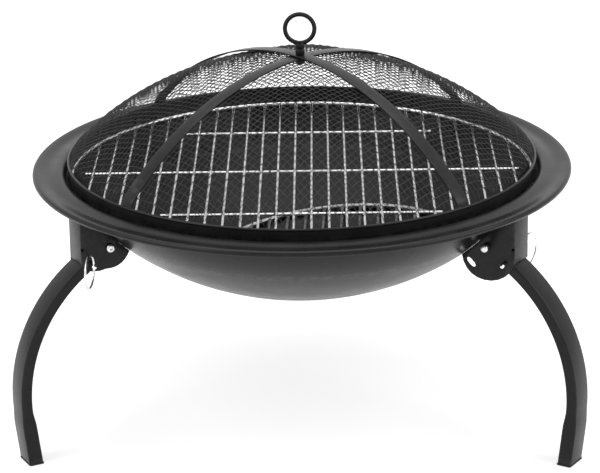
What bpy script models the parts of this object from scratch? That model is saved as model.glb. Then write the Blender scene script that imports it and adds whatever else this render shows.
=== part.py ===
"""Folding fire pit: a flanged steel bowl on three folding legs, with two lift-out grates
and a domed wire mesh lid. Metres, +Z up. The origin lies on the ground, under the middle of
the space that the whole pit takes up."""
import math

import bmesh
import bpy
from mathutils import Matrix, Vector

# Fits and facets
GAP = 0.0003                # clearance between pieces that touch
RUNNING = 0.0003            # clearance all round a pin in its hole
MERGE = 0.00001             # points closer than this are one point
CUT_MARGIN = 0.002          # how far a cutter runs past what it cuts
ROUND_STEPS = 40            # facets round the bowl, the lid and the big rings
FLOOR_SEGMENTS = 6          # facets down the bowl's round floor
KNEE_SEGMENTS = 4           # facets down the bowl's steeper wall
BEND_SEGMENTS = 3           # facets in a small bend
WIRE_SIDES = 6              # facets round a wire
HOLE_SIDES = 12             # facets round a small pin or hole
TROUGH_SEGMENTS = 4         # facets across the flange's trough
TAPER_SEGMENTS = 4          # facets along the bracket's tapering edge

# Bowl, all heights below the crown of the rim
RIM_HEIGHT = 0.260          # crown of the rim above the ground
FLANGE_WIDTH = 0.03123      # from the bowl's mouth to the rim's outer edge
BOWL_RADIUS = 0.3035        # sphere of the bowl's floor, outside
BOWL_DEPTH = 0.1289
KNEE_START = 0.205          # where the floor turns into the steeper wall
KNEE_RADIUS = 0.1475
BOWL_SHEET = 0.0012
FLANGE_BEND = 0.0038        # bend from the wall into the flange, underneath
TROUGH_DEPTH = 0.00175      # shallow trough round the flange
ROLL_RADIUS = 0.003         # rolled outer edge of the flange, on top
ROLL_TUCK = math.radians(50)

# Legs
LEG_AZIMUTHS = {"rear": math.radians(90), "left": math.radians(210), "right": math.radians(330)}
PIVOT_INSET = 0.030                 # from the outer face of the bracket's web
PIVOT_STANDOFF = 0.0091             # from the outside of the bowl's wall
LEG_SLOPE = math.radians(36.5)      # the leg's top below level, pointing out
LEG_STRAIGHT = 0.0381               # from the pivot to the start of the bend
LEG_BEND = 0.1524
LEG_BEND_SEGMENTS = 6
FOOT_LEAN = math.radians(6.9)       # the foot's lean back under the bowl
LEG_STUB = 0.0055                   # the tube's end beyond its pivot
LEG_WIDTH = 0.0276
FOOT_WIDTH = 0.0260
LEG_DEPTH = 0.0118
FOOT_DEPTH = 0.0144
FOOT_BLEND = 0.020                  # length over which the tube grows deeper
LEG_WALL = 0.0015
LEG_CORNER = 0.002
FOLD_LIMIT = math.radians(88)

# Foot caps
CAP_LIP = 0.0015
CAP_PROUD = 0.0005
CAP_PLUG = 0.014

# Brackets
BRACKET_SHEET = 0.0016
SIDE_CLEARANCE = 0.0004
WEB_STANDOFF = 0.01023              # outer face of the bracket's web, beyond the bowl's mouth
BRACKET_BEND = 0.0030               # outer radius of its two bends
BRACKET_REACH = 0.070               # how far its sides could run in under the bowl
LATCH_MARGIN = 0.0038               # side that holds the latch slot, further from the pivot than the web
LATCH_TAPER = 0.0054                # how much nearer to the pivot it is where it meets the bowl
LATCH_LOBE_TURN = math.radians(-105)
HINGE_LOBE = 0.021                  # side that the pull ring hangs on, about the pivot
PIN_LAND = 0.0059                   # metal left round the lock pin's centre
LATCH_SPAN = math.radians(15.2)

# Pivot bolts and lock pins
BOLT_RADIUS = 0.003
BOLT_HEAD_RADIUS = 0.0045
BOLT_HEAD_HEIGHT = 0.0030
BOLT_SOCKET_RADIUS = 0.0014
BOLT_SOCKET_DEPTH = 0.0012
NUT_RADIUS = 0.0041
NUT_HEIGHT = 0.0056
NUT_BORE_DEPTH = 0.0042
PIN_REACH = 0.0245                  # from the pivot, down the leg
PIN_RADIUS = 0.0025
PIN_TIP = 0.0060                    # pin beyond the bracket on the tip side
PIN_EYE = 0.0042                    # cross hole beyond the bracket on the ring side
PIN_TAIL = 0.0036                   # pin beyond its cross hole
PULL_WIRE = 0.0011
PULL_RADIUS = 0.0160
PULL_SEGMENTS = 18
PULL_CLEARANCE = 0.0004
PULL_TURN = {"rear": math.radians(15), "left": math.radians(38), "right": 0.0}

# Cooking grate
GRATE_DROP = 0.009
GRATE_RING_WIRE = 0.0025
GRATE_ROD = 0.0014
GRATE_ROD_COUNT = 26
GRATE_ROD_INSET = 0.020             # outermost rods in from the ring
GRATE_ROD_SHIFT = 0.0013
GRATE_YAW = math.radians(2)
GRATE_BAR = 0.0016
GRATE_BAR_OVERHANG = 0.0055
GRATE_SIDE_BAR_INSET = 0.101        # side bars in from the ring
GRATE_SIDE_BAR_RODS = 8             # rods that a side bar holds to each side of the middle
WELD = 0.0004                       # how far a welded rod sinks into its neighbour

# Charcoal grate
CHARCOAL_RISE = 0.0339              # its ring above the foot of the bowl, when it lies centred
CHARCOAL_TURN = math.radians(5.9)   # it has slid this far round the bowl's floor
CHARCOAL_RING_WIRE = 0.0025
CHARCOAL_ROD = 0.0016
CHARCOAL_ROD_COUNT = 14
CHARCOAL_ROD_INSET = 0.0040
CHARCOAL_BAR = 0.0020

# Lid
HOOP_OFFSET = 0.0024        # middle of the band outside the middle of the grate's ring
HOOP_TOP = 0.010
HOOP_SHEET = 0.0012
HOOP_BEAD = 0.0014
DOME_HEIGHT = 0.1075                # crown of the mesh above the rim
SHOULDER_RADIUS = 0.012
SHOULDER_SEGMENTS = 2
GORE_RISE = 0.0025          # how far the mesh bulges between the straps
MESH_TURN = math.radians(45)
MESH_SEGMENTS = 9
MESH_THICKNESS = 0.0012     # closed skin that stands for the fine woven wire
STRAP_WIDTH = 0.015
STRAP_THICKNESS = 0.0015
STRAP_SEGMENTS = 10
STRAP_AZIMUTHS = {"lower": math.radians(47), "upper": math.radians(133)}
STUD_RADIUS = 0.0025
STUD_END = 0.0015
STUD_NUT_RADIUS = 0.0048
STUD_NUT_HEIGHT = 0.0035
COLLAR_RADIUS = 0.00475
COLLAR_CHAMFER = 0.0008
COLLAR_HEIGHT = 0.01155     # up to the middle of the ring's wire
HANDLE_WIRE = 0.00225
HANDLE_RADIUS = 0.0146
HANDLE_SEGMENTS = 24
HANDLE_SIDES = 8

# Ways to turn a piece that is drawn flat or turned about Z
UPRIGHT = (math.pi / 2, 0.0, 0.0)       # Y up, so that an outline stands in X and Z
SIDEWAYS = (-math.pi / 2, 0.0, 0.0)     # a turned piece lies along Y

# Bowl geometry that follows
FLOOR_CENTRE = BOWL_RADIUS - BOWL_DEPTH
KNEE_SLOPE = math.asin(KNEE_START / BOWL_RADIUS)
KNEE_CENTRE_RADIUS = (BOWL_RADIUS - KNEE_RADIUS) * math.sin(KNEE_SLOPE)
KNEE_CENTRE = FLOOR_CENTRE - (BOWL_RADIUS - KNEE_RADIUS) * math.cos(KNEE_SLOPE)
MOUTH_SLOPE = math.acos((KNEE_CENTRE + FLANGE_BEND + BOWL_SHEET) / (KNEE_RADIUS + FLANGE_BEND))
MOUTH_RADIUS = KNEE_CENTRE_RADIUS + KNEE_RADIUS * math.sin(MOUTH_SLOPE)
RIM_RADIUS = MOUTH_RADIUS + FLANGE_WIDTH


def sag(radius, step):
    """How far the middle of a facet lies inside the round that it stands for."""
    return radius * (1 - math.cos(step / 2))


def wall_slope(height, inset):
    """Slope of the bowl's wall at a height, on the surface that lies inset from its outside."""
    knee_start = KNEE_CENTRE - (KNEE_RADIUS - inset) * math.cos(KNEE_SLOPE)
    if height >= knee_start:
        return math.acos((KNEE_CENTRE - height) / (KNEE_RADIUS - inset))
    return math.acos((FLOOR_CENTRE - height) / (BOWL_RADIUS - inset))


def slope_at_radius(radius, inset):
    """The same at a distance from the axis."""
    knee_start = (BOWL_RADIUS - inset) * math.sin(KNEE_SLOPE)
    if radius >= knee_start:
        return math.asin((radius - KNEE_CENTRE_RADIUS) / (KNEE_RADIUS - inset))
    return math.asin(radius / (BOWL_RADIUS - inset))


def wall_point(slope, inset):
    """Radius and height where that surface has this slope."""
    if slope >= KNEE_SLOPE:
        reach = KNEE_RADIUS - inset
        return (KNEE_CENTRE_RADIUS + reach * math.sin(slope), KNEE_CENTRE - reach * math.cos(slope))
    reach = BOWL_RADIUS - inset
    return (reach * math.sin(slope), FLOOR_CENTRE - reach * math.cos(slope))


# Place of the brackets' webs and of the legs' pivots
WEB_RADIUS = MOUTH_RADIUS + WEB_STANDOFF
PIVOT_RADIUS = WEB_RADIUS - PIVOT_INSET
PIVOT_DROP = -wall_point(slope_at_radius(PIVOT_RADIUS, -PIVOT_STANDOFF), -PIVOT_STANDOFF)[1]

# Leg geometry that follows, in the leg's own upright plane
LEG_BEND_CENTRE = Vector((
    PIVOT_RADIUS + LEG_STRAIGHT * math.cos(LEG_SLOPE) - LEG_BEND * math.sin(LEG_SLOPE),
    -PIVOT_DROP - LEG_STRAIGHT * math.sin(LEG_SLOPE) - LEG_BEND * math.cos(LEG_SLOPE)))
LEG_BEND_SWEEP = math.pi / 2 + FOOT_LEAN - LEG_SLOPE
LEG_BEND_END = LEG_STRAIGHT + LEG_BEND * LEG_BEND_SWEEP
LEG_OUTERMOST = LEG_BEND_CENTRE.x + LEG_BEND + LEG_DEPTH / 2
TUBE_END_HEIGHT = CAP_LIP + GAP
FOOT_STRAIGHT = ((RIM_HEIGHT + LEG_BEND_CENTRE.y - LEG_BEND * math.sin(FOOT_LEAN) - TUBE_END_HEIGHT)
                 / math.cos(FOOT_LEAN))
LEG_LENGTH = LEG_BEND_END + FOOT_STRAIGHT
PIN_PLACE = Vector((PIVOT_RADIUS + PIN_REACH * math.cos(LEG_SLOPE),
                    -PIVOT_DROP - PIN_REACH * math.sin(LEG_SLOPE)))
PIN_HOLE = PIN_RADIUS + RUNNING
BOLT_HOLE = BOLT_RADIUS + RUNNING
BRACKET_INSIDE = LEG_WIDTH / 2 + SIDE_CLEARANCE
BRACKET_OUTSIDE = BRACKET_INSIDE + BRACKET_SHEET
BRACKET_TOP = -BOWL_SHEET - TROUGH_DEPTH - GAP
LATCH_LOBE = PIVOT_INSET + LATCH_MARGIN
LATCH_LOBE_END = LATCH_LOBE - LATCH_TAPER
LEG_TOP_FACE_AT_WEB = (-PIVOT_DROP + LEG_DEPTH / 2 / math.cos(LEG_SLOPE)
                       - (WEB_RADIUS - BRACKET_SHEET - PIVOT_RADIUS) * math.tan(LEG_SLOPE))
WEB_BOTTOM = LEG_TOP_FACE_AT_WEB + GAP


# Grate geometry that follows: each ring touches the facets of the wall
GRATE_INSET = (BOWL_SHEET + GRATE_RING_WIRE + GAP
               + sag(KNEE_RADIUS, (MOUTH_SLOPE - KNEE_SLOPE) / KNEE_SEGMENTS))
GRATE_RADIUS = wall_point(wall_slope(-GRATE_DROP, GRATE_INSET), GRATE_INSET)[0]
CHARCOAL_LEVEL = BOWL_DEPTH - CHARCOAL_RISE
CHARCOAL_INSET = BOWL_SHEET + CHARCOAL_RING_WIRE + GAP + sag(BOWL_RADIUS, KNEE_SLOPE / FLOOR_SEGMENTS)
CHARCOAL_INSET += sag(wall_point(wall_slope(-CHARCOAL_LEVEL, CHARCOAL_INSET), CHARCOAL_INSET)[0],
                      2 * math.pi / ROUND_STEPS)
CHARCOAL_RADIUS = wall_point(wall_slope(-CHARCOAL_LEVEL, CHARCOAL_INSET), CHARCOAL_INSET)[0]

# Lid geometry that follows
HOOP_MIDDLE = GRATE_RADIUS + HOOP_OFFSET
HOOP_BOTTOM = -GRATE_DROP + GRATE_RING_WIRE + GAP
BEAD_CENTRE = HOOP_TOP - HOOP_BEAD
MESH_EDGE_RADIUS = HOOP_MIDDLE - HOOP_BEAD - GAP - sag(HOOP_MIDDLE, 2 * math.pi / ROUND_STEPS)
SHOULDER_CENTRE = Vector((MESH_EDGE_RADIUS - SHOULDER_RADIUS, BEAD_CENTRE))
UPPER_STRAP_RISE = STRAP_THICKNESS + GAP
STRAP_TOP = DOME_HEIGHT + 2 * UPPER_STRAP_RISE
HANDLE_CENTRE = STRAP_TOP + GAP + COLLAR_HEIGHT + HANDLE_RADIUS

# The pit's own axis stands off the origin, because only one leg points to the rear
AXIS_Y = -(LEG_OUTERMOST - RIM_RADIUS) / 2


def clear_scene():
    for old in list(bpy.data.objects):
        bpy.data.objects.remove(old, do_unlink=True)


def new_collection(name):
    collection = bpy.data.collections.new(name)
    bpy.context.scene.collection.children.link(collection)
    return collection


def material(name, colour, roughness, metallic):
    """A Principled material with the part's own colour."""
    made = bpy.data.materials.new(name)
    made.use_nodes = True
    shader = made.node_tree.nodes["Principled BSDF"]
    shader.inputs["Base Color"].default_value = (*colour, 1.0)
    shader.inputs["Roughness"].default_value = roughness
    shader.inputs["Metallic"].default_value = metallic
    made.diffuse_color = (*colour, 1.0)
    return made


def empty(name, parent=None, location=(0.0, 0.0, 0.0), rotation=(0.0, 0.0, 0.0)):
    made = bpy.data.objects.new(name, None)
    made.empty_display_size = 0.02
    made.parent = parent
    made.location = location
    made.rotation_euler = rotation
    PARTS.objects.link(made)
    return made


def add(name, mesh, parent, surface=None, location=(0.0, 0.0, 0.0), rotation=(0.0, 0.0, 0.0)):
    """Places a mesh as a named piece, or as a cutter where it has no material."""
    made = bpy.data.objects.new(name, mesh)
    made.parent = parent
    made.location = location
    made.rotation_euler = rotation
    if surface is None:
        made.display_type = "WIRE"
        made.hide_render = True
        CUTTERS.objects.link(made)
    else:
        mesh.materials.append(surface)
        PARTS.objects.link(made)
    return made


def boolean(piece, other, operation):
    modifier = piece.modifiers.new(operation.title(), "BOOLEAN")
    modifier.operation = operation
    modifier.object = other


def solidify(piece, thickness):
    """Gives an open sheet its thickness, on the side that its faces turn away from."""
    modifier = piece.modifiers.new("Sheet", "SOLIDIFY")
    modifier.thickness = thickness
    modifier.offset = -1.0
    modifier.use_even_offset = True


def polar(centre, radius, angle):
    return (centre[0] + radius * math.cos(angle), centre[1] + radius * math.sin(angle))


def arc(centre, radius, start, end, segments):
    """Points on a round stretch, both ends included."""
    return [polar(centre, radius, start + (end - start) * i / segments) for i in range(segments + 1)]


def turned(profile, closed=False):
    """A profile of (radius, height) points as a mesh of edges, for a Screw modifier."""
    mesh = bpy.data.meshes.new("profile")
    edges = [(i, i + 1) for i in range(len(profile) - 1)]
    if closed:
        edges.append((len(profile) - 1, 0))
    mesh.from_pydata([(radius, 0.0, height) for radius, height in profile], edges, [])
    return mesh


def turn(piece, steps):
    modifier = piece.modifiers.new("Turn", "SCREW")
    modifier.steps = steps
    modifier.render_steps = steps
    modifier.use_merge_vertices = True
    modifier.merge_threshold = MERGE
    modifier.use_smooth_shade = True


def outline(points, thickness, holes=()):
    """A flat outline in X and Y, with its holes, given a thickness about the plane z = 0."""
    curve = bpy.data.curves.new("outline", "CURVE")
    curve.dimensions = "2D"
    curve.fill_mode = "BOTH"
    curve.extrude = thickness / 2
    for loop in (points, *holes):
        spline = curve.splines.new("POLY")
        spline.points.add(len(loop) - 1)
        for point, (x, y) in zip(spline.points, loop):
            point.co = (x, y, 0.0, 1.0)
        spline.use_cyclic_u = True
    flat = bpy.data.objects.new("outline", curve)
    bpy.context.scene.collection.objects.link(flat)
    bpy.context.view_layer.update()
    evaluated = flat.evaluated_get(bpy.context.evaluated_depsgraph_get())
    mesh = bpy.data.meshes.new_from_object(evaluated)
    bpy.data.objects.remove(flat, do_unlink=True)
    shape = bmesh.new()
    shape.from_mesh(mesh)
    bmesh.ops.remove_doubles(shape, verts=shape.verts, dist=MERGE)
    bmesh.ops.recalc_face_normals(shape, faces=shape.faces)
    shape.to_mesh(mesh)
    shape.free()
    return mesh


def loft(sections, capped):
    """Skin over loops of points that all have the same number of points."""
    shape = bmesh.new()
    loops = [[shape.verts.new(point) for point in section] for section in sections]
    for first, second in zip(loops, loops[1:]):
        for i in range(len(first)):
            j = (i + 1) % len(first)
            shape.faces.new((first[i], second[i], second[j], first[j]))
    if capped:
        shape.faces.new(loops[0])
        shape.faces.new(loops[-1])
        bmesh.ops.recalc_face_normals(shape, faces=shape.faces)
    mesh = bpy.data.meshes.new("loft")
    shape.to_mesh(mesh)
    shape.free()
    mesh.shade_smooth()
    mesh.set_sharp_from_angle(angle=math.radians(40))
    return mesh


def cylinder(radius, depth, sides=HOLE_SIDES):
    shape = bmesh.new()
    bmesh.ops.create_cone(shape, cap_ends=True, segments=sides, radius1=radius, radius2=radius, depth=depth)
    mesh = bpy.data.meshes.new("cylinder")
    shape.to_mesh(mesh)
    shape.free()
    return mesh


def rods(ends, radius):
    """Straight wires between pairs of end points, as one mesh."""
    shape = bmesh.new()
    for start, end in ends:
        along = end - start
        place = Matrix.Translation((start + end) / 2) @ along.to_track_quat("Z", "X").to_matrix().to_4x4()
        bmesh.ops.create_cone(shape, cap_ends=True, segments=WIRE_SIDES, radius1=radius,
                              radius2=radius, depth=along.length, matrix=place)
    mesh = bpy.data.meshes.new("rods")
    shape.to_mesh(mesh)
    shape.free()
    return mesh


def ring(radius, wire, segments, sides=WIRE_SIDES):
    """A round wire bent into a ring about Z."""
    bpy.ops.mesh.primitive_torus_add(major_segments=segments, minor_segments=sides,
                                     major_radius=radius, minor_radius=wire)
    made = bpy.context.object
    mesh = made.data
    bpy.data.objects.remove(made, do_unlink=True)
    mesh.shade_smooth()
    return mesh


def fire_bowl():
    """The bowl's outside from the flange's rolled edge down to the middle of its floor."""
    roll_centre = (RIM_RADIUS - ROLL_RADIUS, -ROLL_RADIUS)
    profile = arc(roll_centre, ROLL_RADIUS - BOWL_SHEET, -ROLL_TUCK, math.pi / 2, BEND_SEGMENTS)
    mouth_radius, mouth_height = wall_point(MOUTH_SLOPE, 0.0)
    bend_centre = (mouth_radius + FLANGE_BEND * math.sin(MOUTH_SLOPE),
                   mouth_height - FLANGE_BEND * math.cos(MOUTH_SLOPE))
    for i in range(1, TROUGH_SEGMENTS):
        part = i / TROUGH_SEGMENTS
        radius = roll_centre[0] + (bend_centre[0] - roll_centre[0]) * part
        profile.append((radius, -BOWL_SHEET - TROUGH_DEPTH * math.sin(math.pi * part) ** 2))
    profile += arc(bend_centre, FLANGE_BEND, math.pi / 2, math.pi / 2 + MOUTH_SLOPE, BEND_SEGMENTS)
    for i in range(1, KNEE_SEGMENTS + 1):
        profile.append(wall_point(MOUTH_SLOPE + (KNEE_SLOPE - MOUTH_SLOPE) * i / KNEE_SEGMENTS, 0.0))
    for i in range(FLOOR_SEGMENTS - 1, -1, -1):
        profile.append(wall_point(KNEE_SLOPE * i / FLOOR_SEGMENTS, 0.0))
    bowl = add("fire_bowl", turned(profile), RIM, PAINT)
    turn(bowl, ROUND_STEPS)
    solidify(bowl, BOWL_SHEET)


def leg_centre(distance):
    """Place of the leg's centre line and its slope below level, at a distance from the pivot."""
    if distance <= LEG_STRAIGHT:
        along = Vector((math.cos(LEG_SLOPE), -math.sin(LEG_SLOPE)))
        return Vector((PIVOT_RADIUS, -PIVOT_DROP)) + along * distance, LEG_SLOPE
    turned_by = min(distance - LEG_STRAIGHT, LEG_BEND * LEG_BEND_SWEEP) / LEG_BEND
    slope = LEG_SLOPE + turned_by
    place = LEG_BEND_CENTRE + LEG_BEND * Vector((math.sin(slope), math.cos(slope)))
    if distance > LEG_BEND_END:
        place += Vector((math.cos(slope), -math.sin(slope))) * (distance - LEG_BEND_END)
    return place, slope


def leg_size(distance):
    """Depth and width of the leg's tube at a distance from the pivot."""
    deeper = min(max((distance - LEG_BEND_END) / FOOT_BLEND + 0.5, 0.0), 1.0)
    narrower = min(max((distance - LEG_STRAIGHT) / (LEG_LENGTH - LEG_STRAIGHT), 0.0), 1.0)
    return (LEG_DEPTH + (FOOT_DEPTH - LEG_DEPTH) * deeper,
            LEG_WIDTH + (FOOT_WIDTH - LEG_WIDTH) * narrower)


def tube_section(place, outward, depth, width, corner):
    """Rounded rectangle across the leg: its depth runs outward, its width along Y."""
    corners = []
    for quarter, (side, edge) in enumerate(((1, 1), (-1, 1), (-1, -1), (1, -1))):
        centre = (side * (depth / 2 - corner), edge * (width / 2 - corner))
        corners += arc(centre, corner, quarter * math.pi / 2, (quarter + 1) * math.pi / 2, 2)
    return [(place.x + outward.x * a, b, place.y + outward.y * a) for a, b in corners]


def across(slope):
    return Vector((math.sin(slope), math.cos(slope)))


def foot_outward(slope):
    """Direction level with the ground, as long as the slanting cut through the tube."""
    return Vector((1 / math.sin(slope), 0.0))


def leg(frame, place):
    """The hollow leg: its top hangs on the pivot bolt, its foot ends level with the ground."""
    pivot = Vector((PIVOT_RADIUS, -PIVOT_DROP))
    bend = [LEG_STRAIGHT + (LEG_BEND_END - LEG_STRAIGHT) * i / LEG_BEND_SEGMENTS
            for i in range(LEG_BEND_SEGMENTS)]
    blend = [LEG_BEND_END - FOOT_BLEND / 2, LEG_BEND_END, LEG_BEND_END + FOOT_BLEND / 2]
    sections = []
    for distance in [-LEG_STUB] + bend + blend + [LEG_LENGTH]:
        centre, slope = leg_centre(distance)
        depth, width = leg_size(distance)
        outward = foot_outward(slope) if distance == LEG_LENGTH else across(slope)
        sections.append(tube_section(centre - pivot, outward, depth, width, LEG_CORNER))
    tube = add(f"leg_{place}", loft(sections, False), frame, PAINT, (pivot.x, 0.0, pivot.y))
    solidify(tube, LEG_WALL)
    bolt_hole = add(f"bolt_hole_{place}", cylinder(BOLT_HOLE, 2 * LEG_WIDTH), frame,
                    location=(pivot.x, 0.0, pivot.y), rotation=UPRIGHT)
    boolean(tube, bolt_hole, "DIFFERENCE")
    boolean(tube, pin_slot(frame, place), "DIFFERENCE")
    return tube


def pin_slot(frame, place):
    """Round path that the lock pin takes out of the tube as the leg swings, about the pivot."""
    start = -LEG_SLOPE
    leave = start + math.asin((LEG_DEPTH / 2 + 2 * PIN_HOLE) / PIN_REACH)
    middle = polar((0.0, 0.0), PIN_REACH, start)
    points = arc((0.0, 0.0), PIN_REACH + PIN_HOLE, start, leave, BEND_SEGMENTS)
    points += arc((0.0, 0.0), PIN_REACH - PIN_HOLE, leave, start, BEND_SEGMENTS)
    points += arc(middle, PIN_HOLE, start - math.pi, start, HOLE_SIDES // 2)[1:-1]
    return add(f"pin_slot_{place}", outline(points, 2 * LEG_WIDTH), frame,
               location=(PIVOT_RADIUS, 0.0, -PIVOT_DROP), rotation=UPRIGHT)


def foot_cap(tube, place):
    """Plastic plug: a lip under the tube's end and a plug inside it that leans as the tube does."""
    pivot = Vector((PIVOT_RADIUS, -PIVOT_DROP))
    end, slope = leg_centre(LEG_LENGTH)
    depth, width = leg_size(LEG_LENGTH)
    inside = 2 * (LEG_WALL + GAP)
    lean = Vector((-math.tan(FOOT_LEAN), -1.0))
    outward = foot_outward(slope)
    lip = (depth + 2 * CAP_PROUD, width + 2 * CAP_PROUD, LEG_CORNER + CAP_PROUD)
    plug = (depth - inside, width - inside, LEG_CORNER - LEG_WALL)
    sections = []
    for drop, (section_depth, section_width, corner) in (
            (TUBE_END_HEIGHT, lip), (GAP, lip), (GAP, plug), (-CAP_PLUG, plug)):
        centre = end - pivot + lean * drop
        sections.append(tube_section(centre, outward, section_depth, section_width, corner))
    add(f"foot_cap_{place}", loft(sections, True), tube, PLASTIC)


def lobe_end(reach):
    """Slope of the bowl's wall where a circle about the pivot meets it, on the pivot's inner side."""
    wall = BOWL_RADIUS + GAP
    to_pivot = math.hypot(PIVOT_RADIUS, FLOOR_CENTRE + PIVOT_DROP)
    pivot_slope = math.atan2(PIVOT_RADIUS, FLOOR_CENTRE + PIVOT_DROP)
    return pivot_slope - math.acos((wall ** 2 + to_pivot ** 2 - reach ** 2) / (2 * wall * to_pivot))


def wall_edge(reach, margin):
    """Upper edge of a bracket's side: along the bowl's wall, then out past the web and the top."""
    first = lobe_end(reach)
    last = wall_slope(BRACKET_TOP, -GAP)
    points = []
    for i in range(KNEE_SEGMENTS + FLOOR_SEGMENTS):
        radius, height = wall_point(first + (last - first) * i / (KNEE_SEGMENTS + FLOOR_SEGMENTS - 1), -GAP)
        points.append((math.sqrt(radius ** 2 - BRACKET_INSIDE ** 2), height))
    return points + [(points[-1][0], BRACKET_TOP + margin), (WEB_RADIUS + margin, BRACKET_TOP + margin)]


def hole(centre, radius):
    return arc(centre, radius, 0.0, 2 * math.pi, HOLE_SIDES)[:-1]


def latch_side(margin):
    """The side with the bigger lobe: pivot hole, pin hole and the slot for the folded leg."""
    pivot = (PIVOT_RADIUS, -PIVOT_DROP)
    upper = wall_edge(LATCH_LOBE_END, margin)
    start = math.atan2(upper[0][1] - pivot[1], upper[0][0] - pivot[0])
    web_angle = -math.acos((WEB_RADIUS - PIVOT_RADIUS) / LATCH_LOBE)
    lower = arc(pivot, LATCH_LOBE, web_angle, LATCH_LOBE_TURN, 2 * BEND_SEGMENTS)
    lower.insert(0, (WEB_RADIUS + margin, lower[0][1]))
    for i in range(1, TAPER_SEGMENTS):
        part = i / TAPER_SEGMENTS
        angle = LATCH_LOBE_TURN + (start - LATCH_LOBE_TURN) * part
        lower.append(polar(pivot, LATCH_LOBE + (LATCH_LOBE_END - LATCH_LOBE) * part ** 2, angle))
    folded = -LEG_SLOPE - FOLD_LIMIT
    near = PIN_REACH - PIN_HOLE
    far = PIN_REACH + PIN_HOLE
    slot = arc(pivot, far, folded, folded - LATCH_SPAN, BEND_SEGMENTS)
    slot += arc(polar(pivot, PIN_REACH, folded - LATCH_SPAN), PIN_HOLE, folded - LATCH_SPAN,
                folded - LATCH_SPAN - math.pi, BEND_SEGMENTS)[1:-1]
    slot += arc(pivot, near, folded - LATCH_SPAN, folded, BEND_SEGMENTS)
    slot += arc(polar(pivot, PIN_REACH, folded), PIN_HOLE, folded + math.pi, folded, BEND_SEGMENTS)[1:-1]
    return upper + lower, [hole(pivot, BOLT_HOLE), hole(PIN_PLACE, PIN_HOLE), slot]


def ring_side(margin):
    """The smaller side: round the pivot, then straight across to the land round the lock pin."""
    pivot = (PIVOT_RADIUS, -PIVOT_DROP)
    upper = wall_edge(HINGE_LOBE, margin)
    start = math.atan2(upper[0][1] - pivot[1], upper[0][0] - pivot[0])
    tangent = -LEG_SLOPE - math.acos((HINGE_LOBE - PIN_LAND) / PIN_REACH)
    lower = arc(PIN_PLACE, PIN_LAND, -LEG_SLOPE / 2, tangent, BEND_SEGMENTS)
    lower += arc(pivot, HINGE_LOBE, tangent, start, 2 * BEND_SEGMENTS)[:-1]
    lower = [(WEB_RADIUS + margin, WEB_BOTTOM), (WEB_RADIUS, WEB_BOTTOM)] + lower
    return upper + lower, [hole(pivot, BOLT_HOLE), hole(PIN_PLACE, PIN_HOLE)]


def bracket(frame, place):
    """A sheet bent into a channel round the leg's top, trimmed to its two side outlines."""
    height = PIVOT_DROP + LATCH_LOBE + BRACKET_TOP
    inner_edge = WEB_RADIUS - BRACKET_REACH
    bend_inside = BRACKET_BEND - BRACKET_SHEET
    bend_middle = WEB_RADIUS - BRACKET_BEND
    bend_side = BRACKET_OUTSIDE - BRACKET_BEND
    plan = [(inner_edge, -BRACKET_OUTSIDE)]
    plan += arc((bend_middle, -bend_side), BRACKET_BEND, -math.pi / 2, 0.0, BEND_SEGMENTS)
    plan += arc((bend_middle, bend_side), BRACKET_BEND, 0.0, math.pi / 2, BEND_SEGMENTS)
    plan += [(inner_edge, BRACKET_OUTSIDE), (inner_edge, BRACKET_INSIDE)]
    plan += arc((bend_middle, bend_side), bend_inside, math.pi / 2, 0.0, BEND_SEGMENTS)
    plan += arc((bend_middle, -bend_side), bend_inside, 0.0, -math.pi / 2, BEND_SEGMENTS)
    plan.append((inner_edge, -BRACKET_INSIDE))
    deep = height + CUT_MARGIN
    channel = add(f"bracket_{place}", outline(plan, deep), frame, PAINT, (0.0, 0.0, BRACKET_TOP - deep / 2))
    outlines = (("latch", latch_side(CUT_MARGIN), -1), ("ring", ring_side(2 * CUT_MARGIN), 1))
    sides = []
    for name, (points, holes), side in outlines:
        trim = outline(points, BRACKET_OUTSIDE + 2 * CUT_MARGIN, holes)
        middle = (0.0, side * (BRACKET_OUTSIDE + CUT_MARGIN) / 2, 0.0)
        sides.append(add(f"{name}_side_{place}", trim, frame, location=middle, rotation=UPRIGHT))
    boolean(sides[0], sides[1], "UNION")
    boolean(channel, sides[0], "INTERSECT")
    shape = bmesh.new()
    bmesh.ops.create_cube(shape, size=1.0)
    bmesh.ops.scale(shape, verts=shape.verts, vec=(2 * BRACKET_REACH, LEG_WIDTH + SIDE_CLEARANCE, height))
    opening = bpy.data.meshes.new("leg_opening")
    shape.to_mesh(opening)
    shape.free()
    boolean(channel, add(f"leg_opening_{place}", opening, frame,
                         location=(WEB_RADIUS, 0.0, WEB_BOTTOM - height / 2)), "DIFFERENCE")


def pivot_bolt(frame, place):
    """Bolt through the bracket and the leg, with a domed socket head on the ring's side."""
    under_head = BRACKET_OUTSIDE + GAP
    socket_floor = under_head + BOLT_HEAD_HEIGHT - BOLT_SOCKET_DEPTH
    edge = BOLT_HEAD_HEIGHT / 3
    profile = [(0.0, socket_floor), (BOLT_SOCKET_RADIUS, socket_floor),
               (BOLT_SOCKET_RADIUS, under_head + BOLT_HEAD_HEIGHT)]
    for i in range(1, BEND_SEGMENTS + 1):
        angle = math.pi / 2 * (1 - i / BEND_SEGMENTS)
        profile.append((BOLT_SOCKET_RADIUS + (BOLT_HEAD_RADIUS - BOLT_SOCKET_RADIUS) * math.cos(angle),
                        under_head + edge + (BOLT_HEAD_HEIGHT - edge) * math.sin(angle)))
    shank_end = -BRACKET_OUTSIDE - NUT_BORE_DEPTH
    profile += [(BOLT_HEAD_RADIUS, under_head), (BOLT_RADIUS, under_head),
                (BOLT_RADIUS, shank_end), (0.0, shank_end)]
    bolt = add(f"pivot_bolt_{place}", turned(profile), frame, STEEL,
               (PIVOT_RADIUS, 0.0, -PIVOT_DROP), SIDEWAYS)
    turn(bolt, HOLE_SIDES)


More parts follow.
